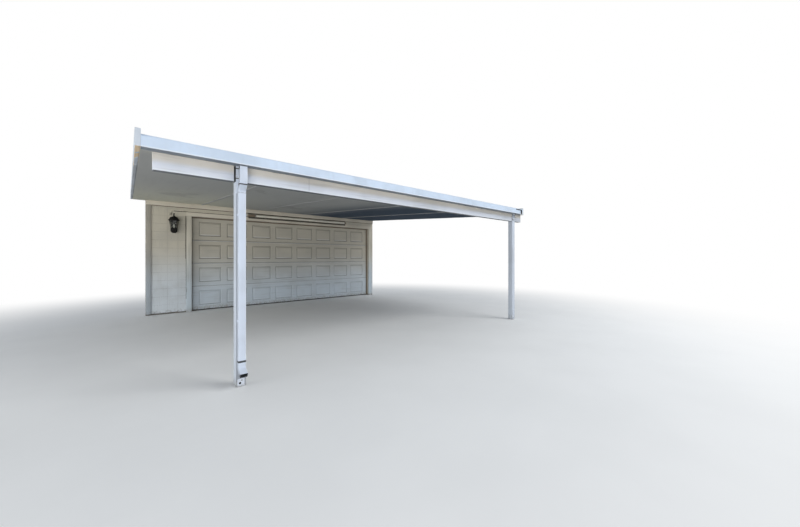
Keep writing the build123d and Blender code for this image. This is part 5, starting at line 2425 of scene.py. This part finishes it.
@dataclass
class CeilingLight:
    """Strip light under the frieze, and the conduit that feeds it."""

    radius: float = 0.008
    bend: float = 0.055
    # The next two give the size of the painted shadow strips round the conduit.
    grime: float = 0.012
    painted_shadow_depth: float = 0.002
    saddle_places: Point = (0.22, 0.75, 1.28)
    saddle_radius: float = 0.0095
    tube_cap: float = 0.019

    def build(self) -> None:
        """Builds and dresses every piece."""
        self.conduit()
        self.housing()
        self.tube()

    def conduit(self) -> None:
        """Painted conduit: up from the lantern's plate, round a bend and level."""
        box = Extent.of("conduit")
        y = box.mid_y
        x, z = box.x0 + self.radius, box.z1 - self.radius
        centres = [((x, box.z0), (0.0, 1.0))]
        for angle in steps_between(math.pi, math.pi / 2, 0.12):
            across, up = math.cos(angle), math.sin(angle)
            spot = (x + self.bend + self.bend * across, z - self.bend + self.bend * up)
            centres.append((spot, (up, -across)))
        for stop in steps_between(x + self.bend, box.x1, 0.3)[1:]:
            centres.append(((stop, z + 0.0012 * wander(stop * 3, 1, 1)), (1.0, 0.0)))
        rings = []
        for (px, pz), (tx, tz) in centres:
            ring = []
            for angle in circle(14):
                across, out = self.radius * math.cos(angle), self.radius * math.sin(angle)
                ring.append((px - tz * across, y + out, pz + tx * across))
            rings.append(ring)
        work = Workpiece()
        work.loft(rings)
        arc = [math.pi * step / 10 + math.pi for step in range(11)]
        wide = self.saddle_radius
        saddle = [(y + 0.0012 + wide * math.sin(a), z + wide * math.cos(a)) for a in arc]
        for place in self.saddle_places:
            stop = box.x0 + place
            work.loft([[(end, *spot) for spot in saddle] for end in (stop - 0.009, stop + 0.009)])
            work.block((stop - 0.008, stop + 0.008), (box.y1 - 0.0016, box.y1), (z + 0.009, z + 0.026))
        work.finish("conduit_run", CONDUIT_PAINT, "trim_paint", ["conduit"])
        # Painted shadow: dark strips under the level run and beside the upright one.
        back, near, far = (box.y1 - self.painted_shadow_depth, box.y1), self.radius - 0.001, self.radius + self.grime
        grime = [((x + self.bend, box.x1), back, (z - self.radius - self.grime, z - self.radius + 0.001))]
        for sides in ((x - far, x - near), (x + near, x + far)):
            grime.append((sides, back, (box.z0, z - self.bend)))
        blocks("conduit_painted_shadow", grime, SHADOW_PAINT, "trim_paint")

    def folded(self, box: Extent, chamfer: float) -> list[Flat]:
        """Side outline of a part of the light, whose corners are folded by chamfer."""
        shoulder = box.y0 + 0.012
        foot = [(box.y1, box.z0), (shoulder, box.z0), (box.y0, box.z0 + chamfer)]
        return [*foot, (box.y0, box.z1 - chamfer), (shoulder, box.z1), (box.y1, box.z1)]

    def housing(self) -> None:
        """Folded housing with a long lampholder at its left end and a short one at its right."""
        body, box = Extent.of("strip_light_housing"), Extent.of("strip_light_holders")
        work = Workpiece()
        work.bar(self.folded(body, 0.010), Along.X, steps_between(body.x0, body.x1, 0.4))
        work.soften(0.0012, 1)
        work.finish("strip_light_body", LIGHT_ENAMEL, "light_enamel", ["strip_light_housing"])
        work = Workpiece()
        for ends in ((box.x0, body.x0), (body.x1, box.x1)):
            work.bar(self.folded(box, 0.012), Along.X, ends)
        work.soften(0.0018)
        work.finish("strip_light_sockets", HOLDER, "light_holder", ["strip_light_holders"])

    def tube(self) -> None:
        """The bare tube with its metal end caps."""
        box = Extent.of("strip_light_tube")
        y, z, radius = box.mid_y, box.mid_z, (box.y1 - box.y0) / 2
        around = [(radius * math.sin(a), radius * math.cos(a)) for a in circle(24)]
        stops = [(box.x0, 0.86), (box.x0 + 0.02, 0.98), (box.x0 + 0.022, 1.0)]
        stops += [(x, 1.0) for x in steps_between(box.x0 + 0.05, box.x1 - 0.05, 0.4)]
        stops += [(box.x1 - 0.022, 1.0), (box.x1 - 0.02, 0.98), (box.x1, 0.86)]
        work = Workpiece()
        work.loft([[(x, y + share * out, z + share * up) for out, up in around] for x, share in stops])
        work.finish("strip_light_lamp", TUBE, "light_tube", ["strip_light_tube"], 50.0)
        work = Workpiece()
        for ends in ((box.x0 + 0.0002, box.x0 + self.tube_cap), (box.x1 - self.tube_cap, box.x1 - 0.0002)):
            work.loft([[(x, y + out, z + up) for out, up in around] for x in ends])
        work.finish("strip_light_end_caps", ZINC, "galvanised_steel")


# Studio


@dataclass(frozen=True)
class Lamp:
    """A soft lamp: its place, what it points at, its size, power in watts and colour."""

    name: str
    place: Point
    target: Point
    size: Flat
    power: float
    colour: Colour

    def hang(self) -> None:
        """Puts the lamp in the scene."""
        data = bpy.data.lights.new(self.name, "AREA")
        data.shape = "RECTANGLE"
        data.size, data.size_y = self.size
        data.energy = self.power
        data.color = self.colour
        lamp = bpy.data.objects.new(self.name, data)
        lamp.location = self.place
        lamp.rotation_euler = aimed(Vector(self.target) - Vector(self.place))
        bpy.context.scene.collection.objects.link(lamp)


def aimed(way: Vector) -> Euler:
    """Rotation of a lamp or camera that looks that way."""
    return way.to_track_quat("-Z", "Y").to_euler()


LAMPS = (
    Lamp("key_lamp", (5.0, -10.0, 8.0), (0.7, -2.0, 1.0), (6.0, 6.0), 560.0, (0.97, 0.99, 1.0)),
    Lamp("low_lamp", (-8.0, -12.5, 0.62), (-0.3, 2.6, 1.1), (8.0, 1.1), 560.0, (1.0, 0.99, 0.98)),
    Lamp("side_lamp", (-8.5, -1.5, 0.75), (-1.2, 1.2, 2.0), (5.0, 1.35), 150.0, (1.0, 1.0, 0.98)),
)


@dataclass
class Studio:
    """Pale floor, white surround, soft lamps and the camera."""

    camera_place: Point = (-3.085, -5.9045, 1.23)
    camera_forward: Point = (0.654, 0.7565, 0.0)
    lens: float = 14.16
    sensor: float = 36.0
    horizon_shift: float = -0.0076
    sky: Colour = (0.86, 0.92, 1.0)
    sky_strength: float = 0.50
    floor_reach: float = 60.0
    floor_level: float = -0.0004

    def build(self) -> None:
        """Sets up what the object stands in."""
        self.floor()
        self.surround()
        for lamp in LAMPS:
            lamp.hang()
        self.camera()

    def floor(self) -> None:
        """The pale floor under the object."""
        finish = StudioFloor("studio_floor", (0.97, 0.965, 0.95), (0.48, 0.485, 0.49), 4.4, 9.5)
        data = bpy.data.meshes.new("studio_floor")
        reach = (-self.floor_reach, self.floor_reach)
        corners = [(x, y, self.floor_level) for x, y in rectangle(reach, reach)]
        data.from_pydata(corners, [], [(0, 1, 2, 3)])
        floor = bpy.data.objects.new("studio_floor", data)
        coat(floor, finish)
        bpy.context.scene.collection.objects.link(floor)

    def surround(self) -> None:
        """White for what is seen straight or in gloss, soft sky for what lights."""
        world = bpy.data.worlds.new("studio_surround")
        board = NodeBoard(world)
        light = board.put("ShaderNodeBackground", {"Color": self.sky, "Strength": self.sky_strength})
        white = board.put("ShaderNodeBackground", {"Color": (1.0, 1.0, 1.0), "Strength": 1.0})
        both = board.put("ShaderNodeMixShader", {0: board.seen(), 1: light, 2: white})
        board.put("ShaderNodeOutputWorld", {"Surface": both})
        bpy.context.scene.world = world

    def camera(self) -> None:
        """The camera at the photograph's place and angle."""
        data = bpy.data.cameras.new("camera")
        data.lens = self.lens
        data.sensor_width = self.sensor
        data.shift_y = self.horizon_shift
        data.clip_end = 200.0
        camera = bpy.data.objects.new("camera", data)
        camera.location = self.camera_place
        camera.rotation_euler = aimed(Vector(self.camera_forward))
        bpy.context.scene.collection.objects.link(camera)
        bpy.context.scene.camera = camera


def main() -> None:
    """Builds the carport piece by piece, then the studio."""
    logging.basicConfig(level=logging.INFO, format="%(name)s %(message)s")
    for assembly in (
        PostsAndBeam(),
        Roof(),
        Gutter(),
        Downspout(),
        GarageWall(),
        SectionalDoor(),
        Lantern(),
        CeilingLight(),
        Studio(),
    ):
        LOG.info("building %s", type(assembly).__name__)
        assembly.build()
    bpy.context.scene.view_settings.view_transform = "Standard"


if __name__ == "__main__":
    main()
